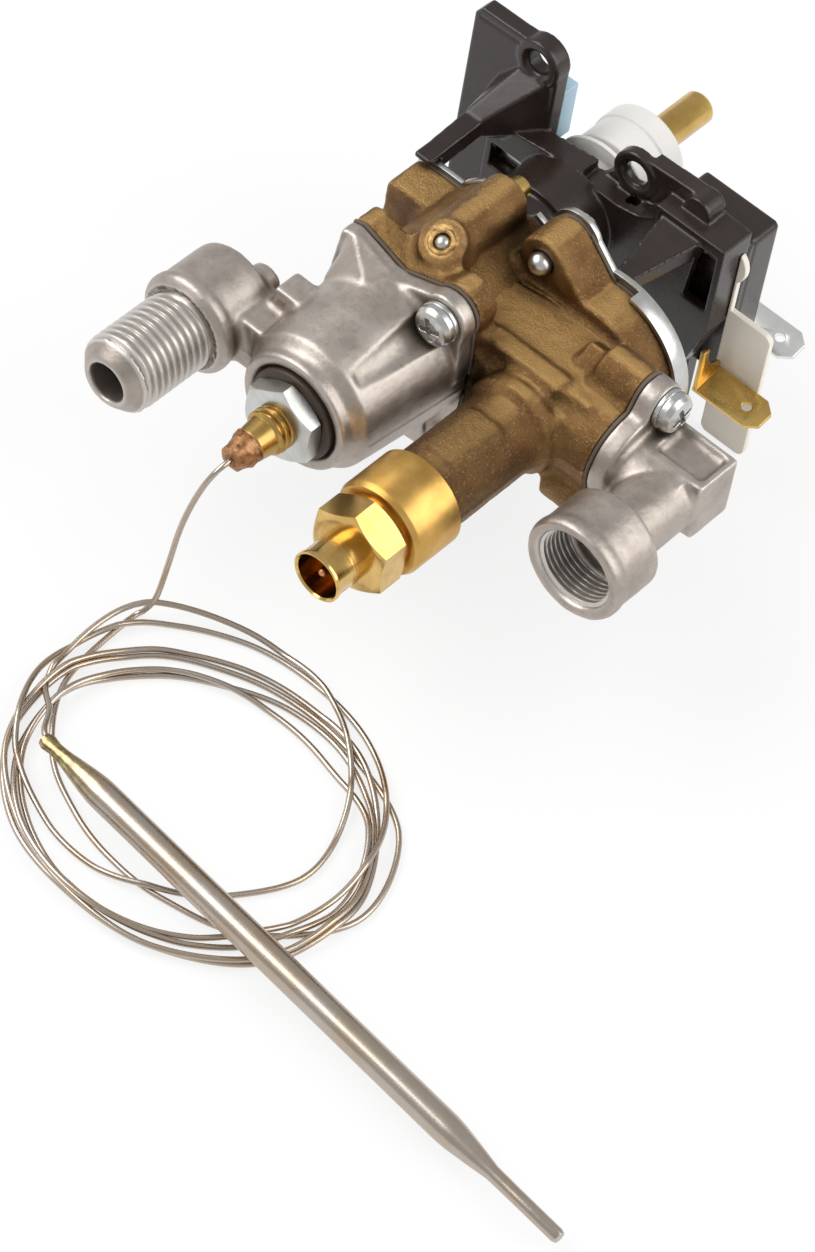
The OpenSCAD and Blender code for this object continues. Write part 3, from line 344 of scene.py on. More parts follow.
def make_materials():
    """Every material by name: one for each slot of the record, then the finer finishes."""
    slots = {
        "cast_brass": cast_bronze(),
        "bright_brass": turned_brass(),
        "die_cast": die_cast(),
        "zinc_steel": zinc(),
        "spring_steel": zinc("spring_steel", (0.50, 0.50, 0.50), (0.42, 0.40, 0.36)),
        "copper": turned_brass("copper", (0.66, 0.30, 0.16)),
        "capillary_steel": drawn_steel(),
        "braze": brazing(),
        "black_plastic": moulded("black_plastic", (0.017, 0.0105, 0.0085),
                                 (0.026, 0.016, 0.012), (0.22, 0.34), 0.04),
        "white_plastic": moulded("white_plastic", (0.74, 0.72, 0.68), (0.79, 0.77, 0.735),
                                 (0.36, 0.48)),
        "cream_plastic": moulded("cream_plastic", (0.80, 0.74, 0.64), (0.86, 0.81, 0.72),
                                 (0.34, 0.46)),
        "blue_plastic": moulded("blue_plastic", (0.38, 0.56, 0.66), (0.44, 0.62, 0.72),
                                (0.35, 0.5)),
        "brown_washer": moulded("brown_washer", (0.028, 0.017, 0.011), (0.060, 0.037, 0.024),
                                (0.42, 0.6), 0.12),
        "seal_rubber": moulded("seal_rubber", (0.012, 0.012, 0.012), (0.02, 0.02, 0.02),
                               (0.55, 0.7), 0.06),
    }
    finishes = {
        "satin_brass": turned_brass("satin_brass", (0.60, 0.375, 0.115), (0.30, 0.42)),
        "polished_brass": turned_brass("polished_brass", (0.68, 0.47, 0.175), (0.13, 0.22)),
        "stem_brass": turned_brass("stem_brass", (0.50, 0.34, 0.12), (0.22, 0.40)),
        "fibre": moulded("fibre", (0.085, 0.060, 0.040), (0.14, 0.10, 0.07), (0.6, 0.8), 0.08),
        # A lighter copy of zinc for the rear terminal: a painted reflection.
        "painted_bright_zinc": zinc("painted_bright_zinc", (0.86, 0.86, 0.85), (0.80, 0.79, 0.75)),
        "burnt_steel": drawn_steel("burnt_steel", burnt=(11, 21)),
    }
    return {**slots, **finishes}


# ---------------------------------------------------------------- mesh helpers


def to_frame(point):
    """Body coordinates in millimetres to the part's frame in metres."""
    return Vector((point[0], point[1] + JOINT_Y, point[2])) * MM


def new_piece(name, mesh):
    """An object of its own for the mesh, linked to the scene."""
    made = bpy.data.objects.new(name, mesh)
    bpy.context.scene.collection.objects.link(made)
    return made


def from_faces(name, points, faces):
    """A piece from corners in body coordinates and faces that count them."""
    mesh = bpy.data.meshes.new(name)
    mesh.from_pydata([to_frame(p) for p in points], [], faces)
    mesh.validate()
    return new_piece(name, mesh)


SAME_PLACE = 0.002  # corners nearer than this are one corner


def cad_copy(node, name):
    """A new object with the CAD node's mesh, its doubled corners merged."""
    made = new_piece(name, NODES[node].data.copy())
    made.data.materials.clear()
    shape = bmesh.new()
    shape.from_mesh(made.data)
    bmesh.ops.remove_doubles(shape, verts=shape.verts, dist=SAME_PLACE * MM)
    shape.to_mesh(made.data)
    shape.free()
    return made


def baked(piece):
    """Replaces the piece's mesh by its evaluated one, with its modifiers applied."""
    seen = piece.evaluated_get(bpy.context.evaluated_depsgraph_get())
    mesh = bpy.data.meshes.new_from_object(seen)
    piece.modifiers.clear()
    piece.data = mesh
    return piece


def join(main, *others):
    """Adds the other pieces' meshes to the main one."""
    shape = bmesh.new()
    shape.from_mesh(main.data)
    for other in others:
        shape.from_mesh(other.data)
        bpy.data.objects.remove(other)
    shape.to_mesh(main.data)
    shape.free()
    return main


def cut(piece, *tools):
    """Cuts the tools out of the piece."""
    for tool in tools:
        modifier = piece.modifiers.new("cut", "BOOLEAN")
        modifier.operation = "DIFFERENCE"
        modifier.solver = "EXACT"
        modifier.object = tool
        baked(piece)
        bpy.data.objects.remove(tool)
    return piece


def smoothed(piece, angle):
    """Shades the piece smooth, except across edges sharper than angle in degrees."""
    for face in piece.data.polygons:
        face.use_smooth = True
    if angle < 180:
        piece.data.set_sharp_from_angle(angle=math.radians(angle))
    return piece


def cast(piece, voxel, rounds, rough=0.0, grain=1.6):
    """Remeshes the piece, rounds every edge a little and roughens the skin.

    rough is the height of the skin's bumps and grain their width.
    """
    modifier = piece.modifiers.new("remesh", "REMESH")
    modifier.mode = "VOXEL"
    modifier.voxel_size = voxel * MM
    modifier.use_smooth_shade = True
    baked(piece)
    modifier = piece.modifiers.new("round", "SMOOTH")
    modifier.factor = 0.5
    modifier.iterations = rounds
    baked(piece)
    if rough:
        places = [v.co.copy() for v in piece.data.vertices]
        normals = [v.normal.copy() for v in piece.data.vertices]
        for vertex, place, normal in zip(piece.data.vertices, places, normals):
            spot = place / MM
            fine = 0.5 * noise.noise(spot / (grain * 0.45))
            height = noise.noise(spot / grain) + fine
            vertex.co = place + normal * height * rough * MM
    return smoothed(piece, 180)


def pressed(piece, depth):
    """Moves vertices along their normals by depth(places, normals), in millimetres."""
    count = len(piece.data.vertices)
    place, normal = np.empty(count * 3), np.empty(count * 3)
    piece.data.vertices.foreach_get("co", place)
    piece.data.vertices.foreach_get("normal", normal)
    place, normal = place.reshape(-1, 3), normal.reshape(-1, 3)
    body = place / MM - np.array([0, JOINT_Y, 0])
    place = place + normal * depth(body, normal)[:, None] * MM
    piece.data.vertices.foreach_set("co", place.ravel())
    piece.data.update()
    return piece


def grown(piece, amount):
    """Moves every vertex along its normal by the same amount."""
    return pressed(piece, lambda body, normal: np.full(len(body), amount))


def filleted(piece, radius, voxel, **skin):
    """A casting: hollow corners filled to a radius, outer edges rounded, the skin rough."""
    cast(piece, voxel, 1)
    grown(piece, radius)
    cast(piece, voxel, 2)
    grown(piece, -radius)
    return cast(piece, voxel * 0.85, **skin)


def turned_about(piece, place, degrees, axis):
    """Turns the piece's mesh about an axis through a place in body coordinates."""
    pivot = Matrix.Translation(to_frame(place))
    turn = Matrix.Rotation(math.radians(degrees), 4, axis)
    piece.data.transform(pivot @ turn @ pivot.inverted())
    return piece


def ridge(distance, width, height):
    """The height of a soft line at a distance from its middle."""
    return height * np.exp(-(distance / width) ** 2)


def from_line(flat, start, end):
    """Distance of each flat point from the line between two places."""
    start, end = np.array(start), np.array(end)
    way = end - start
    share = np.clip((flat - start) @ way / (way @ way), 0, 1)
    return np.linalg.norm(flat - start - share[:, None] * way, axis=1)


def arc_plate(name, x, inner, outer, half, y0, y1):
    """A curved plate round an axis along Y, half degrees to each side of straight up."""
    steps = 16
    points, faces = [], []
    for i in range(steps + 1):
        angle = math.radians(half * (2 * i / steps - 1))
        for radius in (inner, outer):
            for y in (y0, y1):
                points.append((x + radius * math.sin(angle), y, radius * math.cos(angle)))
    for i in range(steps):
        a, b = 4 * i, 4 * i + 4
        for j, k in ((0, 1), (1, 3), (3, 2), (2, 0)):
            faces.append((a + j, a + k, b + k, b + j))
    faces += [(0, 2, 3, 1), (4 * steps, 4 * steps + 1, 4 * steps + 3, 4 * steps + 2)]
    return from_faces(name, points, faces)


def eased(piece, width):
    """Rounds the edges of a machined or moulded piece, its flat faces joined up first."""
    flat_angle, edge_angle = math.radians(1.5), math.radians(32)
    shape = bmesh.new()
    shape.from_mesh(piece.data)
    bmesh.ops.dissolve_limit(shape, angle_limit=flat_angle, verts=shape.verts,
                             edges=shape.edges)
    shape.to_mesh(piece.data)
    shape.free()
    modifier = piece.modifiers.new("ease", "BEVEL")
    modifier.width = width * MM
    modifier.segments = 2
    modifier.limit_method = "ANGLE"
    modifier.angle_limit = edge_angle
    modifier.use_clamp_overlap = True
    baked(piece)
    return smoothed(piece, 40)


def add_on(piece, body, slot, finish=None):
    """Puts the piece on a body, with the slot's material or a finish of its own."""
    piece.data.materials.clear()
    piece.data.materials.append(MATERIALS[finish or slot])
    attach(piece, body)
    return piece


def dress(piece, node, *more, finish=None):
    """Lets the piece stand for its CAD nodes, on the first one's body and slot."""
    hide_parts(node, *more)
    return add_on(piece, BODY_OF[node], SLOTS[node], finish)


def spun(name, rows, x=0.0, z=0.0, around=96, closed=True):
    """A solid of revolution about an axis along Y.

    Each row is (radius, y), or a function of the angle that gives them. With closed, the last
    row joins the first. Rows at radius 0 become one point each.
    """
    points, rings = [], []
    for row in rows:
        ring = []
        for step in range(around):
            angle = 2 * math.pi * step / around
            radius, y = row(angle) if callable(row) else row
            if not callable(row) and radius == 0 and ring:
                ring.append(ring[0])
                continue
            ring.append(len(points))
            points.append((x + radius * math.cos(angle), y, z - radius * math.sin(angle)))
        rings.append(ring)
    faces = []
    pairs = list(zip(rings, rings[1:])) + ([(rings[-1], rings[0])] if closed else [])
    for low, high in pairs:
        for step in range(around):
            after = (step + 1) % around
            corners = [low[step], low[after], high[after], high[step]]
            face = list(dict.fromkeys(corners))
            if len(face) > 2:
                faces.append(face)
    piece = from_faces(name, points, faces)
    shape = bmesh.new()
    shape.from_mesh(piece.data)
    bmesh.ops.recalc_face_normals(shape, faces=shape.faces)
    shape.to_mesh(piece.data)
    shape.free()
    return smoothed(piece, 30)


def rod(name, radius, y0, y1, x=0.0, z=0.0):
    """A plain cylinder along Y."""
    return spun(name, [(0, y0), (radius, y0), (radius, y1), (0, y1)], x, z, 64, closed=False)


def block(name, low, high):
    """A box between two corners."""
    points = [(x, y, z) for x in (low[0], high[0]) for y in (low[1], high[1])
              for z in (low[2], high[2])]
    faces = [(0, 1, 3, 2), (4, 6, 7, 5), (0, 4, 5, 1), (2, 3, 7, 6), (0, 2, 6, 4),
             (1, 5, 7, 3)]
    return from_faces(name, points, faces)


def thread_rows(y0, y1, root, crest, pitch, lead_in):
    """Rows of a helical thread between two places along Y; root and crest are radii.

    The thread grows to its full height over lead_in at both ends.
    """
    rows_per_turn = 14
    steepness, flat_root = 1.45, 0.2
    count = max(2, int(round(abs(y1 - y0) / pitch * rows_per_turn)))

    def row(y):
        def at_angle(angle):
            turn = (y / pitch + angle / (2 * math.pi)) % 1.0
            wave = (0.5 - abs(turn - 0.5)) * 2
            rise = min(1.0, max(0.0, wave * steepness - flat_root))
            rise = rise * rise * (3 - 2 * rise)
            edge = min(1.0, min(abs(y - y0), abs(y - y1)) / lead_in)
            return root + (crest - root) * rise * edge, y
        return at_angle
    return [row(y0 + (y1 - y0) * i / count) for i in range(count + 1)]


def nut_rows(across, y0, y1, bore):
    """Rows of a hexagon with chamfered ends, from y0 to y1, with corners up and down."""
    touch = across * 0.485
    slope = math.tan(math.radians(28))

    def flat(angle):
        local = (math.degrees(angle) + 30) % 60 - 30
        return across / 2 / math.cos(math.radians(local))

    def ring(y_end, inward):
        def at_angle(angle):
            radius = flat(angle)
            return radius, y_end + inward * max(0.0, radius - touch) * slope
        return at_angle
    up = 1 if y1 > y0 else -1
    return [(bore, y0), (touch, y0), ring(y0, up), ring(y1, -up), (touch, y1), (bore, y1)]


# ---------------------------------------------------------------- capillary tube

TUBE_D = 1.0
# The radius of each loose turn from the coil's centre, chosen after the photo: one
# row for each turn, one value for every 30 degrees, from 180 degrees on
TURN_RADII = [
    (28.2, 22.9, 19.6, 19.4, 22.1, 28.6, 34.4, 32.3, 25.9, 23.4, 23.6, 26.6),
    (29.3, 30.1, 29.4, 28.7, 31.0, 34.0, 32.9, 28.9, 26.4, 24.6, 25.1, 27.4),
    (29.8, 30.2, 28.7, 28.9, 31.6, 33.7, 32.2, 28.1, 24.6, 21.9, 20.7, 22.5),
    (26.2, 27.9, 28.5, 28.8, 29.4, 30.7, 30.9, 27.2, 21.1, 19.4, 20.2, 23.2),
    (26.0, 27.3, 27.0, 27.7, 28.3, 28.9, 29.8, 29.8, 29.1, 28.5, 30.2, 32.9),
    (32.6, 28.9, 24.6, 22.4, 20.9, 21.0, 23.2, 23.4, 25.0, 28.7, 31.9, 35.0),
    (31.0,),
]
# The route of the free stretch, from the end of the braze, as in the part's source
TUBE_ROUTE = [(0, 0, 0), (0, -1.2, -0.1), (-0.2, -2.3, -0.6), (-0.6, -3.3, -1.8),
              (-1.1, -4.4, -3.8), (-1.5, -5.9, -6.8), (-1.6, -7.4, -9.8),
              (-1.5, -8.7, -12.8), (-1.4, -9.7, -16.4), (-1.5, -10.4, -20),
              (-1.8, -10.8, -23.5), (-2.2, -11.1, -26.4), (-2.8, -11.7, -28.6),
              (-3.5, -13, -30), (-4.1, -14.8, -30.4)]
BRAZE_END = mm_box("stem_braze")[0].y
# Where the tube enters the sensing bulb, and the bulb's direction from there to its tip
NECK = Vector((mm_box("sensing_bulb")[0].x + 2.7, -109.8, -24.8))
BULB_TURN, BULB_TILT = math.radians(-4.5), math.radians(1.3)
BULB_AXIS = Vector((math.cos(BULB_TILT) * math.cos(BULB_TURN),
                    math.cos(BULB_TILT) * math.sin(BULB_TURN), -math.sin(BULB_TILT)))


def smooth_path(points, step):
    """Points about a step apart on a Catmull-Rom curve through the given ones."""
    ends = [points[0] * 2 - points[1]] + list(points) + [points[-1] * 2 - points[-2]]
    path = []
    for a, b, c, d in zip(ends, ends[1:], ends[2:], ends[3:]):
        count = max(1, round((c - b).length / step))
        for i in range(count):
            t = i / count
            path.append(0.5 * (2 * b + (c - a) * t + (2 * a - 5 * b + 4 * c - d) * t * t
                               + (3 * b - a - 3 * c + d) * t ** 3))
    return path + [points[-1].copy()]


def settled(path, start, floor_z, wide, climb):
    """Lays the path from start on: it rests on the floor and on what was laid before it.

    wide is how far apart two strands' middles keep, and climb the steepest rise over one.
    """
    just_laid = 20  # this much of the tube before a point can't lie under it
    lifted = floor_z + 2  # a strand above this is still on its way down
    flat = np.array([(p.x, p.y) for p in path])
    heights = np.array([p.z for p in path])
    steps = np.linalg.norm(np.diff(flat, axis=0), axis=1)
    along = np.concatenate([[0], np.cumsum(steps)])
    for i in range(start, len(path)):
        gap = np.linalg.norm(flat[:i] - flat[i], axis=1)
        under = (gap < wide) & (along[:i] < along[i] - just_laid) & (heights[:i] < lifted)
        rest = floor_z
        if under.any():
            tops = heights[:i][under] + np.sqrt(wide ** 2 - gap[under] ** 2)
            rest = max(rest, tops.max())
        heights[i] = rest
    for order in (range(start, len(path) - 1), range(len(path) - 1, start, -1)):
        for i in order:
            other = i + order.step
            reach = climb * abs(along[i] - along[other])
            heights[other] = max(heights[other], heights[i] - reach)
    return [Vector((p.x, p.y, float(h))) for p, h in zip(path, heights)]


def tube_path():
    """The whole tube: down from the braze, round its loose turns, up into the bulb's neck."""
    centre = middle("capillary_coil")
    rest_z = FLOOR_Z + TUBE_D / 2
    down = [Vector((x, BRAZE_END + y, z)) for x, y, z in TUBE_ROUTE]
    turns = []
    for i, radius in enumerate(radius for turn in TURN_RADII for radius in turn):
        angle = math.radians(180 + 30 * i)
        turns.append(Vector((centre.x + radius * math.cos(angle),
                             centre.y + radius * math.sin(angle), rest_z)))
    rise = [NECK - BULB_AXIS * 4.6 + Vector((0, 5.2, -1.9)),
            NECK - BULB_AXIS * 1.8 + Vector((0, 1.3, -0.3)), NECK + BULB_AXIS * 0.5]
    path = smooth_path(down + turns + rise, 0.8)
    begin = next(i for i, p in enumerate(path) if p.z < rest_z + 0.3)
    end = next(i for i in range(len(path) - 1, 0, -1) if path[i].z < rest_z + 0.5)
    laid = settled(path[:end], begin, rest_z, TUBE_D * 1.04, 0.12)
    thinned = (laid + path[end:])[::2] + [path[-1]]
    return [to_frame(p) for p in smooth_path(thinned, 1.0)]


def tube(name, path, radius):
    """A round tube along the path, with closed ends."""
    sides = 10
    mesh = bmesh.new()
    side = Vector((1, 0, 0))
    rings = []
    for i, point in enumerate(path):
        ahead = (path[min(i + 1, len(path) - 1)] - path[max(i - 1, 0)]).normalized()
        side = (side - ahead * side.dot(ahead)).normalized()
        across = ahead.cross(side)
        ring = []
        for j in range(sides):
            angle = 2 * math.pi * j / sides
            out = side * math.cos(angle) + across * math.sin(angle)
            ring.append(mesh.verts.new(point + out * radius))
        rings.append(ring)
    for low, high in zip(rings, rings[1:]):
        for j in range(sides):
            after = (j + 1) % sides
            mesh.faces.new((low[j], low[after], high[after], high[j]))
    mesh.faces.new(rings[0][::-1])
    mesh.faces.new(rings[-1])
    data = bpy.data.meshes.new(name)
    mesh.to_mesh(data)
    mesh.free()
    return smoothed(new_piece(name, data), 60)


def make_bulb():
    """The sensing bulb: a swaged neck, a straight tube and a drawn far end.

    Each row is (radius, distance along the bulb from where its straight tube starts).
    """
    radius, length, neck, around = 2.5, 77.5, 13.2, 48
    rows = [(0.55, -neck - 0.4), (1.1, -neck - 0.4), (1.3, -neck + 0.5), (1.12, -neck + 2.2),
            (1.3, -neck + 4.2), (1.7, -neck + 6.6), (2.2, -neck + 9.8), (2.45, -neck + 12),
            (radius, 0.4), (radius, 3), (radius, length / 2), (radius, length - 1),
            (2.35, length + 1.2), (1.7, length + 6), (1.25, length + 9), (1.2, length + 14),
            (1.2, length + 22.6), (1.0, length + 23.2), (0, length + 23.2)]
    place = (Matrix.Translation(NECK + BULB_AXIS * neck)
             @ Matrix.Rotation(BULB_TURN, 4, "Z") @ Matrix.Rotation(BULB_TILT, 4, "Y"))
    points, faces, rings = [], [], []
    for r, along in rows:
        squeeze = 1 - 0.16 * max(0, 1 - abs(along + neck - 1) / 2)
        ring = []
        for step in range(around):
            angle = 2 * math.pi * step / around
            ring.append(len(points))
            points.append(place @ Vector((along, r * math.cos(angle) / squeeze,
                                          r * math.sin(angle) * squeeze)))
        rings.append(ring)
    for low, high in zip(rings, rings[1:]):
        for step in range(around):
            after = (step + 1) % around
            faces.append((low[step], low[after], high[after], high[step]))
    faces += [rings[0][::-1], rings[-1]]
    bulb = smoothed(from_faces("bulb", points, faces), 50)
    dress(bulb, "sensing_bulb", finish="burnt_steel")


def make_capillary():
    """The capillary as one cord, which stands for its free stretch and its coil."""
    path = tube_path()
    piece = dress(tube("capillary", path, TUBE_D / 2 * MM), "capillary_tube", "capillary_coil")


# ---------------------------------------------------------------- brass body

# The middle of the sealing ball, and how far its passage is turned about X
BALL = Vector((1, -19.4, 18))
BALL_TURN = 120


def make_body():
    """The sand casting with its fillets, parting line, raised pads and drawn panel line."""
    piece = join(cad_copy("valve_body", "body_casting"),
                 block("band", (14.4, -22.6, 7.6), (29.5, -18.9, 9.3)),
                 arc_plate("pad", MAGNET_X, 6.5, 7.85, 32, -45, -33.6),
                 rod("nose_lug", 3.2, -42, -24, MAGNET_X, -6.2),
                 rod("nose_ring", 8.7, -27.5, -24.5, MAGNET_X))
    filleted(piece, 0.9, 0.38, rounds=4, rough=0.07)

    def relief(body, normal):
        x, y, z = body.T
        panel = (z > 8.0) & (z < 9.0) & (normal[:, 2] > 0.8)
        to_line = from_line(body[:, :2], (10.4, -8.9), (27, -7.3))
        line = np.where(panel, -ridge(to_line, 0.34, 0.5), 0)
        upright = np.abs(normal[:, 2]) < 0.35
        side = upright & (y < -8.5) & (np.abs(x - 1) < 45) & ((x > 14) | (x < -12))
        front = upright & (x < -12) & (y > -8)
        return line + np.where(side | front, ridge(z, 0.3, 0.22), 0)
    dress(smoothed(pressed(piece, relief), 180), "valve_body")


def make_ball_seat():
    """The staked ring round the ball that closes a drilled passage."""
    rows = [(1.5, -0.9), (1.5, 0.12), (1.75, 0.42), (2.1, 0.34), (2.35, 0.0), (2.35, -0.9)]
    ring = spun("ball_seat", [(r, y + BALL.y) for r, y in rows], BALL.x, BALL.z, 48)
    add_on(turned_about(ring, BALL, BALL_TURN, "X"), "tap", "cast_brass")


# ---------------------------------------------------------------- housing and elbow


def make_housing():
    """The die-cast housing; the outlet is pressed back under a threaded sleeve."""
    thread_low, thread_high, sleeve_bore = -65.0, -50.4, 5.0
    piece = join(cad_copy("thermostat_housing", "housing_casting"),
                 block("outlet_web", (OUTLET_X - 5, -40.5, -4.5), (-11, -36.4, 4.8)))
    filleted(piece, 0.6, 0.34, rounds=3, rough=0.035, grain=2.4)

    def relief(body, normal):
        x, y, z = body.T
        radius = np.hypot(x - OUTLET_X, z)
        threaded = (y > thread_low) & (y < thread_high) & (radius > 5) & (radius < 7.6)
        back = np.where(threaded, -1.0, 0.0)
        barrel = (np.hypot(x, z) > 11) & (np.abs(x) < 15) & (y > -46) & (z < 2)
        return back + np.where(barrel, ridge(z + 1, 0.3, 0.14), 0)
    dress(smoothed(pressed(piece, relief), 180), "thermostat_housing")
    rows = thread_rows(thread_low, thread_high, 6.15, 7.0, 1.45, lead_in=0.9)
    rows = [(sleeve_bore, thread_low)] + rows + [(sleeve_bore, thread_high)]
    add_on(spun("outlet_thread", rows, OUTLET_X, 0, 72), "tap", "die_cast")


def make_elbow():
    """The die-cast elbow with a ring of thread inside its collar."""
    front = mm_box("inlet_elbow")[0].y
    thread_front, thread_back, sleeve_r = front + 0.9, front + 7.8, 7.4
    rim = [(7.9, front + 0.5), (9.25, front + 0.8), (9.25, front + 2.2), (8.8, front + 2.6),
           (7.9, front + 2.6)]
    piece = join(cad_copy("inlet_elbow", "elbow_casting"), spun("collar_rim", rim, INLET_X))
    dress(filleted(piece, 0.6, 0.33, rounds=3, rough=0.04, grain=2.2), "inlet_elbow")
    rows = thread_rows(thread_front, thread_back, 7.05, 6.4, 1.0, lead_in=0.3)
    rows = [(sleeve_r, thread_front)] + rows + [(sleeve_r, thread_back)]
    add_on(spun("inlet_thread", rows, INLET_X, 0, 72), "tap", "die_cast")


# ---------------------------------------------------------------- moulded pieces


def make_carrier():
    """The moulded carrier with its thin right lug, knob, window strip and edge lines."""
    back = mm_box("switch_carrier")[1].y
    face = back - 3.2
    lug_x, lug_z = 9.6, 13.1
    eye_x, eye_z = -12.9, 21.1
    lug_rim = [(2.9, face - 0.1), (4.3, face - 0.1), (4.3, face - 0.5), (2.9, face - 0.5)]
    eye_rim = [(2.8, face - 0.1), (4.2, face - 0.1), (4.2, face - 0.4), (2.8, face - 0.4)]
    piece = cad_copy("switch_carrier", "carrier")
    cut(piece, rod("lug_back", 4.75, face + 1.7, back + 1, lug_x, lug_z))
    join(piece, rod("knob", 2.7, face - 1.2, back, 22.9, 15.5),
         spun("lug_rim", lug_rim, lug_x, lug_z, 48), spun("eye_rim", eye_rim, eye_x, eye_z, 48))
    cast(piece, 0.28, rounds=3)

    def relief(body, normal):
        x, y, z = body.T
        front = (normal[:, 1] < -0.8) & (y > face - 1) & (x < -8)
        to_edge = from_line(np.stack([x, z], axis=1), (-25.2, 22.2), (-17, 22.6))
        return np.where(front, ridge(to_edge, 0.3, -0.25), 0)
    dress(smoothed(pressed(piece, relief), 180), "switch_carrier")
    strip = block("window_strip", (-15.6, face - 1.6, -1.4), (-8.6, face - 1.1, 0.6))
    add_on(eased(strip, 0.12), "tap", "zinc_steel")


def make_switch():
    """The switch's box, with a seam line and rounded corners."""
    piece = cast(cad_copy("main_switch", "switch_box"), 0.3, rounds=5)
    low = mm_box("main_switch")[0]

    def relief(body, normal):
        x, y = body[:, 0], body[:, 1]
        seam = ridge(y - low.y - 1.6, 0.22, -0.22)
        return seam * (np.abs(normal[:, 1]) < 0.3) * (x > low.x + 1)
    dress(smoothed(pressed(piece, relief), 180), "main_switch")


def make_collar():
    """The knob's collar, moulded with soft edges."""
    dress(cast(cad_copy("cam_collar", "collar"), 0.2, rounds=5), "cam_collar")


# ---------------------------------------------------------------- turned and pressed pieces

# How wide the edges of each machined, pressed or moulded piece are rounded
EASED = {"bonnet_plate": 0.15, "bonnet_gasket": 0.1, "bonnet_bush": 0.3, "bypass_screw": 0.15,
         "shaft": 0.2, "shaft_clip": 0.1, "housing_gasket": 0.1, "stem_washer": 0.3,
         "elbow_gasket": 0.1, "lamp_switch": 0.3, "switch_slide": 0.12,
         "insulating_plate": 0.2, "front_terminal": 0.12, "rear_terminal": 0.12}
# Screws and washers, which are rounded all over
SMALL = ("bonnet_screws", "housing_screws", "housing_washers", "elbow_screws", "elbow_washers")
# Where a piece looks finer than its slot's material; the rear terminal's lighter zinc is a
# painted reflection
FINISHES = {"housing_gasket": "fibre", "elbow_gasket": "fibre", "bonnet_gasket": "fibre",
            "rear_terminal": "painted_bright_zinc"}


def make_small_pieces():
    """Pieces that keep their solid's shape, with their edges rounded."""
    for node, width in EASED.items():
        dress(eased(cad_copy(node, node + "_piece"), width), node, finish=FINISHES.get(node))
    for node in SMALL:
        dress(cast(cad_copy(node, node + "_piece"), 0.13, 3), node)


# Each spring's joint, how far it is pressed, and which end stays where it rides: 0 for the
# end with the lower y, 1 for the other
SPRINGS = {"shaft_spring": ("shaft_push", 4.0, 1), "plug_spring": ("shaft_push", 4.0, 0),
           "armature_spring": ("gas_valve_lift", 3.0, 1),
           "disc_spring": ("thermostat_closing", 1.5, 0)}


def make_springs():
    """Coil springs, each smooth shaded and given a mesh of its own."""
    for node, (joint, travel, kept_end) in SPRINGS.items():
        piece = dress(smoothed(cad_copy(node, node + "_piece"), 40), node)
        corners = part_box(node)
        anchor = (corners[0] + corners[1]) / 2
        anchor.y = corners[kept_end].y
        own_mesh(piece)


def make_magnet():
    """The magnet unit's turned sleeve, polished hexagon and flared socket.

    The hexagon joins the body's outline without the two rows of a nut's bore.
    """
    low, high = mm_box("magnet_sleeve")
    front, radius = low.y, (high.x - low.x) / 2
    joint = high.y - 3.5
    bore, neck, groove = 4.9, 5.95, 5.35
    rows = [(bore, front), (7.7, front), (8.1, front + 0.1), (radius - 0.15, front + 0.85),
            (radius, front + 1.15), (radius, joint - 0.2), (radius - 0.2, joint), (neck, joint),
            (neck, joint + 1.2), (groove, joint + 1.2), (groove, joint + 2.2),
            (neck, joint + 2.2), (neck, high.y), (bore, high.y)]
    dress(spun("sleeve", rows, MAGNET_X, 0, 128), "magnet_sleeve", finish="satin_brass")
    low, high = mm_box("magnet_body")
    lip, hex_front, hex_back = low.y, front - 6.6, front - 0.7
    body_r, collar_r, socket_r, pin_hole_r = 4.83, 6.55, 3.9, 2.02
    socket_floor = hex_front + 1.5
    rows = ([(body_r, high.y), (body_r, front), (collar_r, front), (collar_r, hex_back)]
            + nut_rows(14, hex_back, hex_front, socket_r)[1:5]
            + [(4.4, hex_front), (4.35, lip + 1.2), (4.55, lip + 0.8), (4.6, lip + 0.4),
               (4.55, lip + 0.1), (4.4, lip), (4.2, lip), (3.95, lip + 0.3),
               (socket_r, socket_floor), (pin_hole_r, socket_floor), (pin_hole_r, high.y)])
    dress(spun("magnet_hex", rows, MAGNET_X, 0, 144), "magnet_body", finish="polished_brass")


def make_stem():
    """The capsule's stem with its thread, the hexagon nut and the brazed end."""
    nut_low, nut_high = (corner.y for corner in mm_box("lock_nut"))
    dress(spun("nut", nut_rows(13, nut_low, nut_high, 3.6)), "lock_nut")
    end, inner = (corner.y for corner in mm_box("thermostat_stem"))
    thread_end = end + 3.2
    rows = ([(0, end), (2.75, end), (2.95, end + 0.2), (3.25, thread_end - 0.5)]
            + thread_rows(thread_end, nut_low + 1.5, 3.35, 4.0, 1.25, lead_in=0.5)
            + [(3.9, nut_low + 2), (3.9, inner), (0, inner)])
    dress(spun("stem", rows, closed=False), "thermostat_stem", finish="stem_brass")

    def lump(radius, y):
        def at_angle(angle):
            wave = 0.08 * math.sin(3 * angle + y) + 0.06 * math.sin(5 * angle - 2 * y)
            return radius * (1 + wave), y + 0.12 * math.sin(2 * angle)
        return at_angle
    tip = BRAZE_END
    rows = [(0, end + 0.5), (2.6, end + 0.5), lump(2.85, end), lump(2.9, end - 0.8),
            lump(2.7, end - 1.7), lump(2.35, end - 2.5), lump(2.3, end - 3.2),
            lump(2.1, end - 3.8), (1.6, tip + 0.15), (1.1, tip), (0.7, tip + 0.3),
            (0, tip + 0.3)]
    dress(spun("braze", rows, closed=False), "stem_braze")


# ---------------------------------------------------------------- surroundings


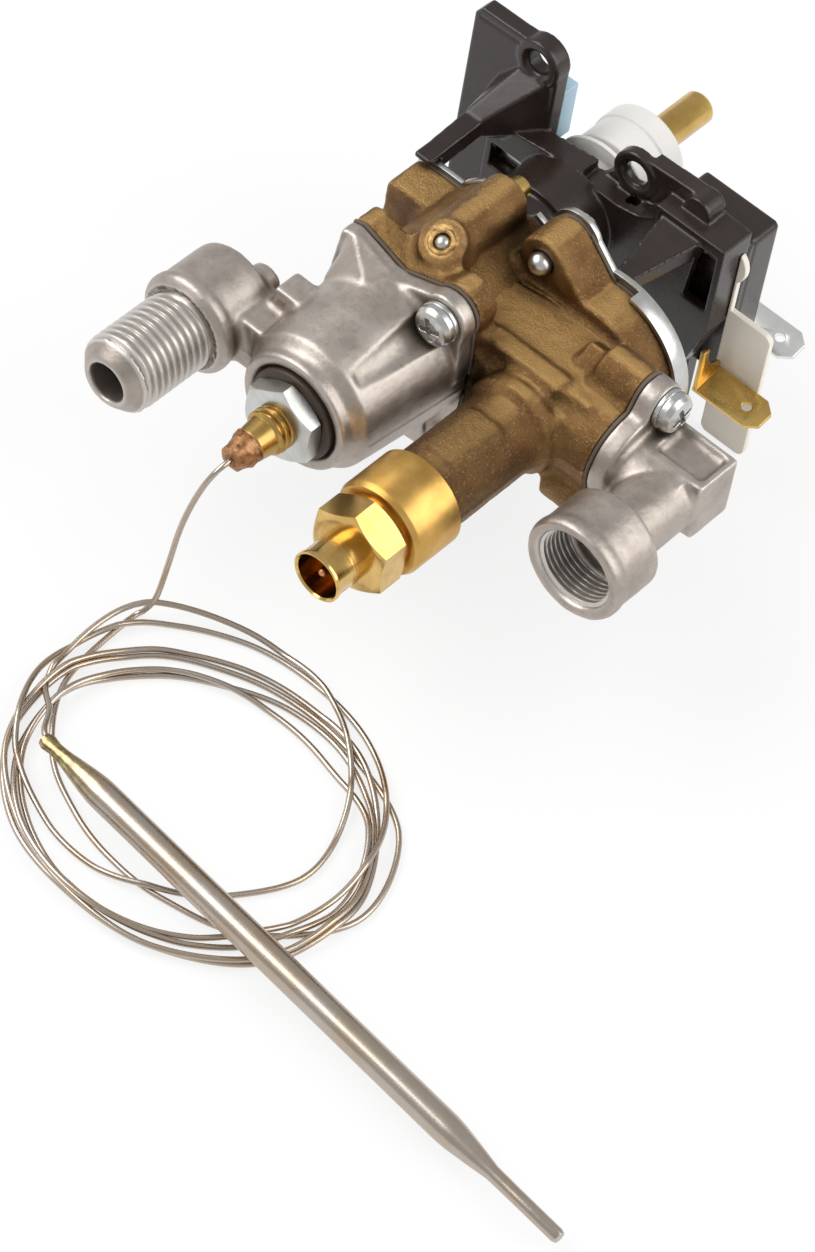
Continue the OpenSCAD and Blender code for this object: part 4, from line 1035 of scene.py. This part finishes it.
def make_floor():
    """A ground that the camera and shiny pieces see as white, with the object's shadow.

    half is half its side, drop how far it lies below the object and glowing the share of
    its white that is no reflected light.
    """
    half, drop, glowing = 3.0, 0.0002, 0.8
    g = Graph("floor_white")
    rays = g.node("LightPath").outputs
    seen = g.math("MAXIMUM", rays["Is Camera Ray"],
                  g.math("MAXIMUM", rays["Is Glossy Ray"], rays["Is Transmission Ray"]))
    g.finish(Base_Color=(0.86, 0.86, 0.86), Roughness=0.9)
    glow = g.node("Emission", {"Color": (1, 1, 1, 1), "Strength": 1.0}).outputs[0]
    blend = g.node("MixShader", {0: g.math("MULTIPLY", seen, glowing),
                                 1: g.shader.outputs[0], 2: glow}).outputs[0]
    g.set(g.tree.nodes["Material Output"].inputs["Surface"], blend)
    z = FLOOR_Z * MM - drop
    mesh = bpy.data.meshes.new("floor")
    mesh.from_pydata([(-half, -half, z), (half, -half, z), (half, half, z), (-half, half, z)],
                     [], [(0, 1, 2, 3)])
    mesh.materials.append(g.material)
    new_piece("floor", mesh)


def make_world():
    """An even sky: full white to the camera, 0.55 where it gives light or is reflected."""
    world = bpy.data.worlds.new("world")
    bpy.context.scene.world = world
    world.use_nodes = True
    tree = world.node_tree
    background = tree.nodes["Background"]
    rays = tree.nodes.new("ShaderNodeLightPath").outputs
    seen = tree.nodes.new("ShaderNodeMath")
    seen.operation = "MAXIMUM"
    strength = tree.nodes.new("ShaderNodeMapRange")
    strength.inputs["To Min"].default_value = 0.55
    strength.inputs["To Max"].default_value = 1.0
    tree.links.new(rays["Is Camera Ray"], seen.inputs[0])
    tree.links.new(rays["Is Transmission Ray"], seen.inputs[1])
    tree.links.new(seen.outputs[0], strength.inputs["Value"])
    tree.links.new(strength.outputs[0], background.inputs["Strength"])
    background.inputs["Color"].default_value = (1, 1, 1, 1)


def make_lamp(name, place, size, power):
    """A soft rectangular lamp that shines on the valve's body."""
    aim = Vector((0.02, -0.06, -0.01))
    lamp = bpy.data.lights.new(name, "AREA")
    lamp.shape = "RECTANGLE"
    lamp.size, lamp.size_y = size
    lamp.energy = power
    made = bpy.data.objects.new(name, lamp)
    made.location = Vector(place)
    made.rotation_euler = (aim - Vector(place)).to_track_quat("-Z", "Y").to_euler()
    bpy.context.scene.collection.objects.link(made)


# ---------------------------------------------------------------- the object

MATERIALS = make_materials()
make_camera()
make_capillary()
make_bulb()
make_body()
make_ball_seat()
make_housing()
make_elbow()
make_carrier()
make_switch()
make_collar()
make_small_pieces()
make_springs()
make_magnet()
make_stem()
# The solids that no piece replaces are seen as they are, in the same materials
for node, piece in NODES.items():
    piece.data.materials.clear()
    piece.data.materials.append(MATERIALS[SLOTS[node]])
make_floor()
make_world()
make_lamp("key", (-0.55, -0.35, 0.65), (0.9, 0.6), 6.6)
make_lamp("fill", (0.65, 0.2, 0.45), (0.6, 0.8), 4.0)
bpy.context.scene.view_settings.view_transform = "Standard"
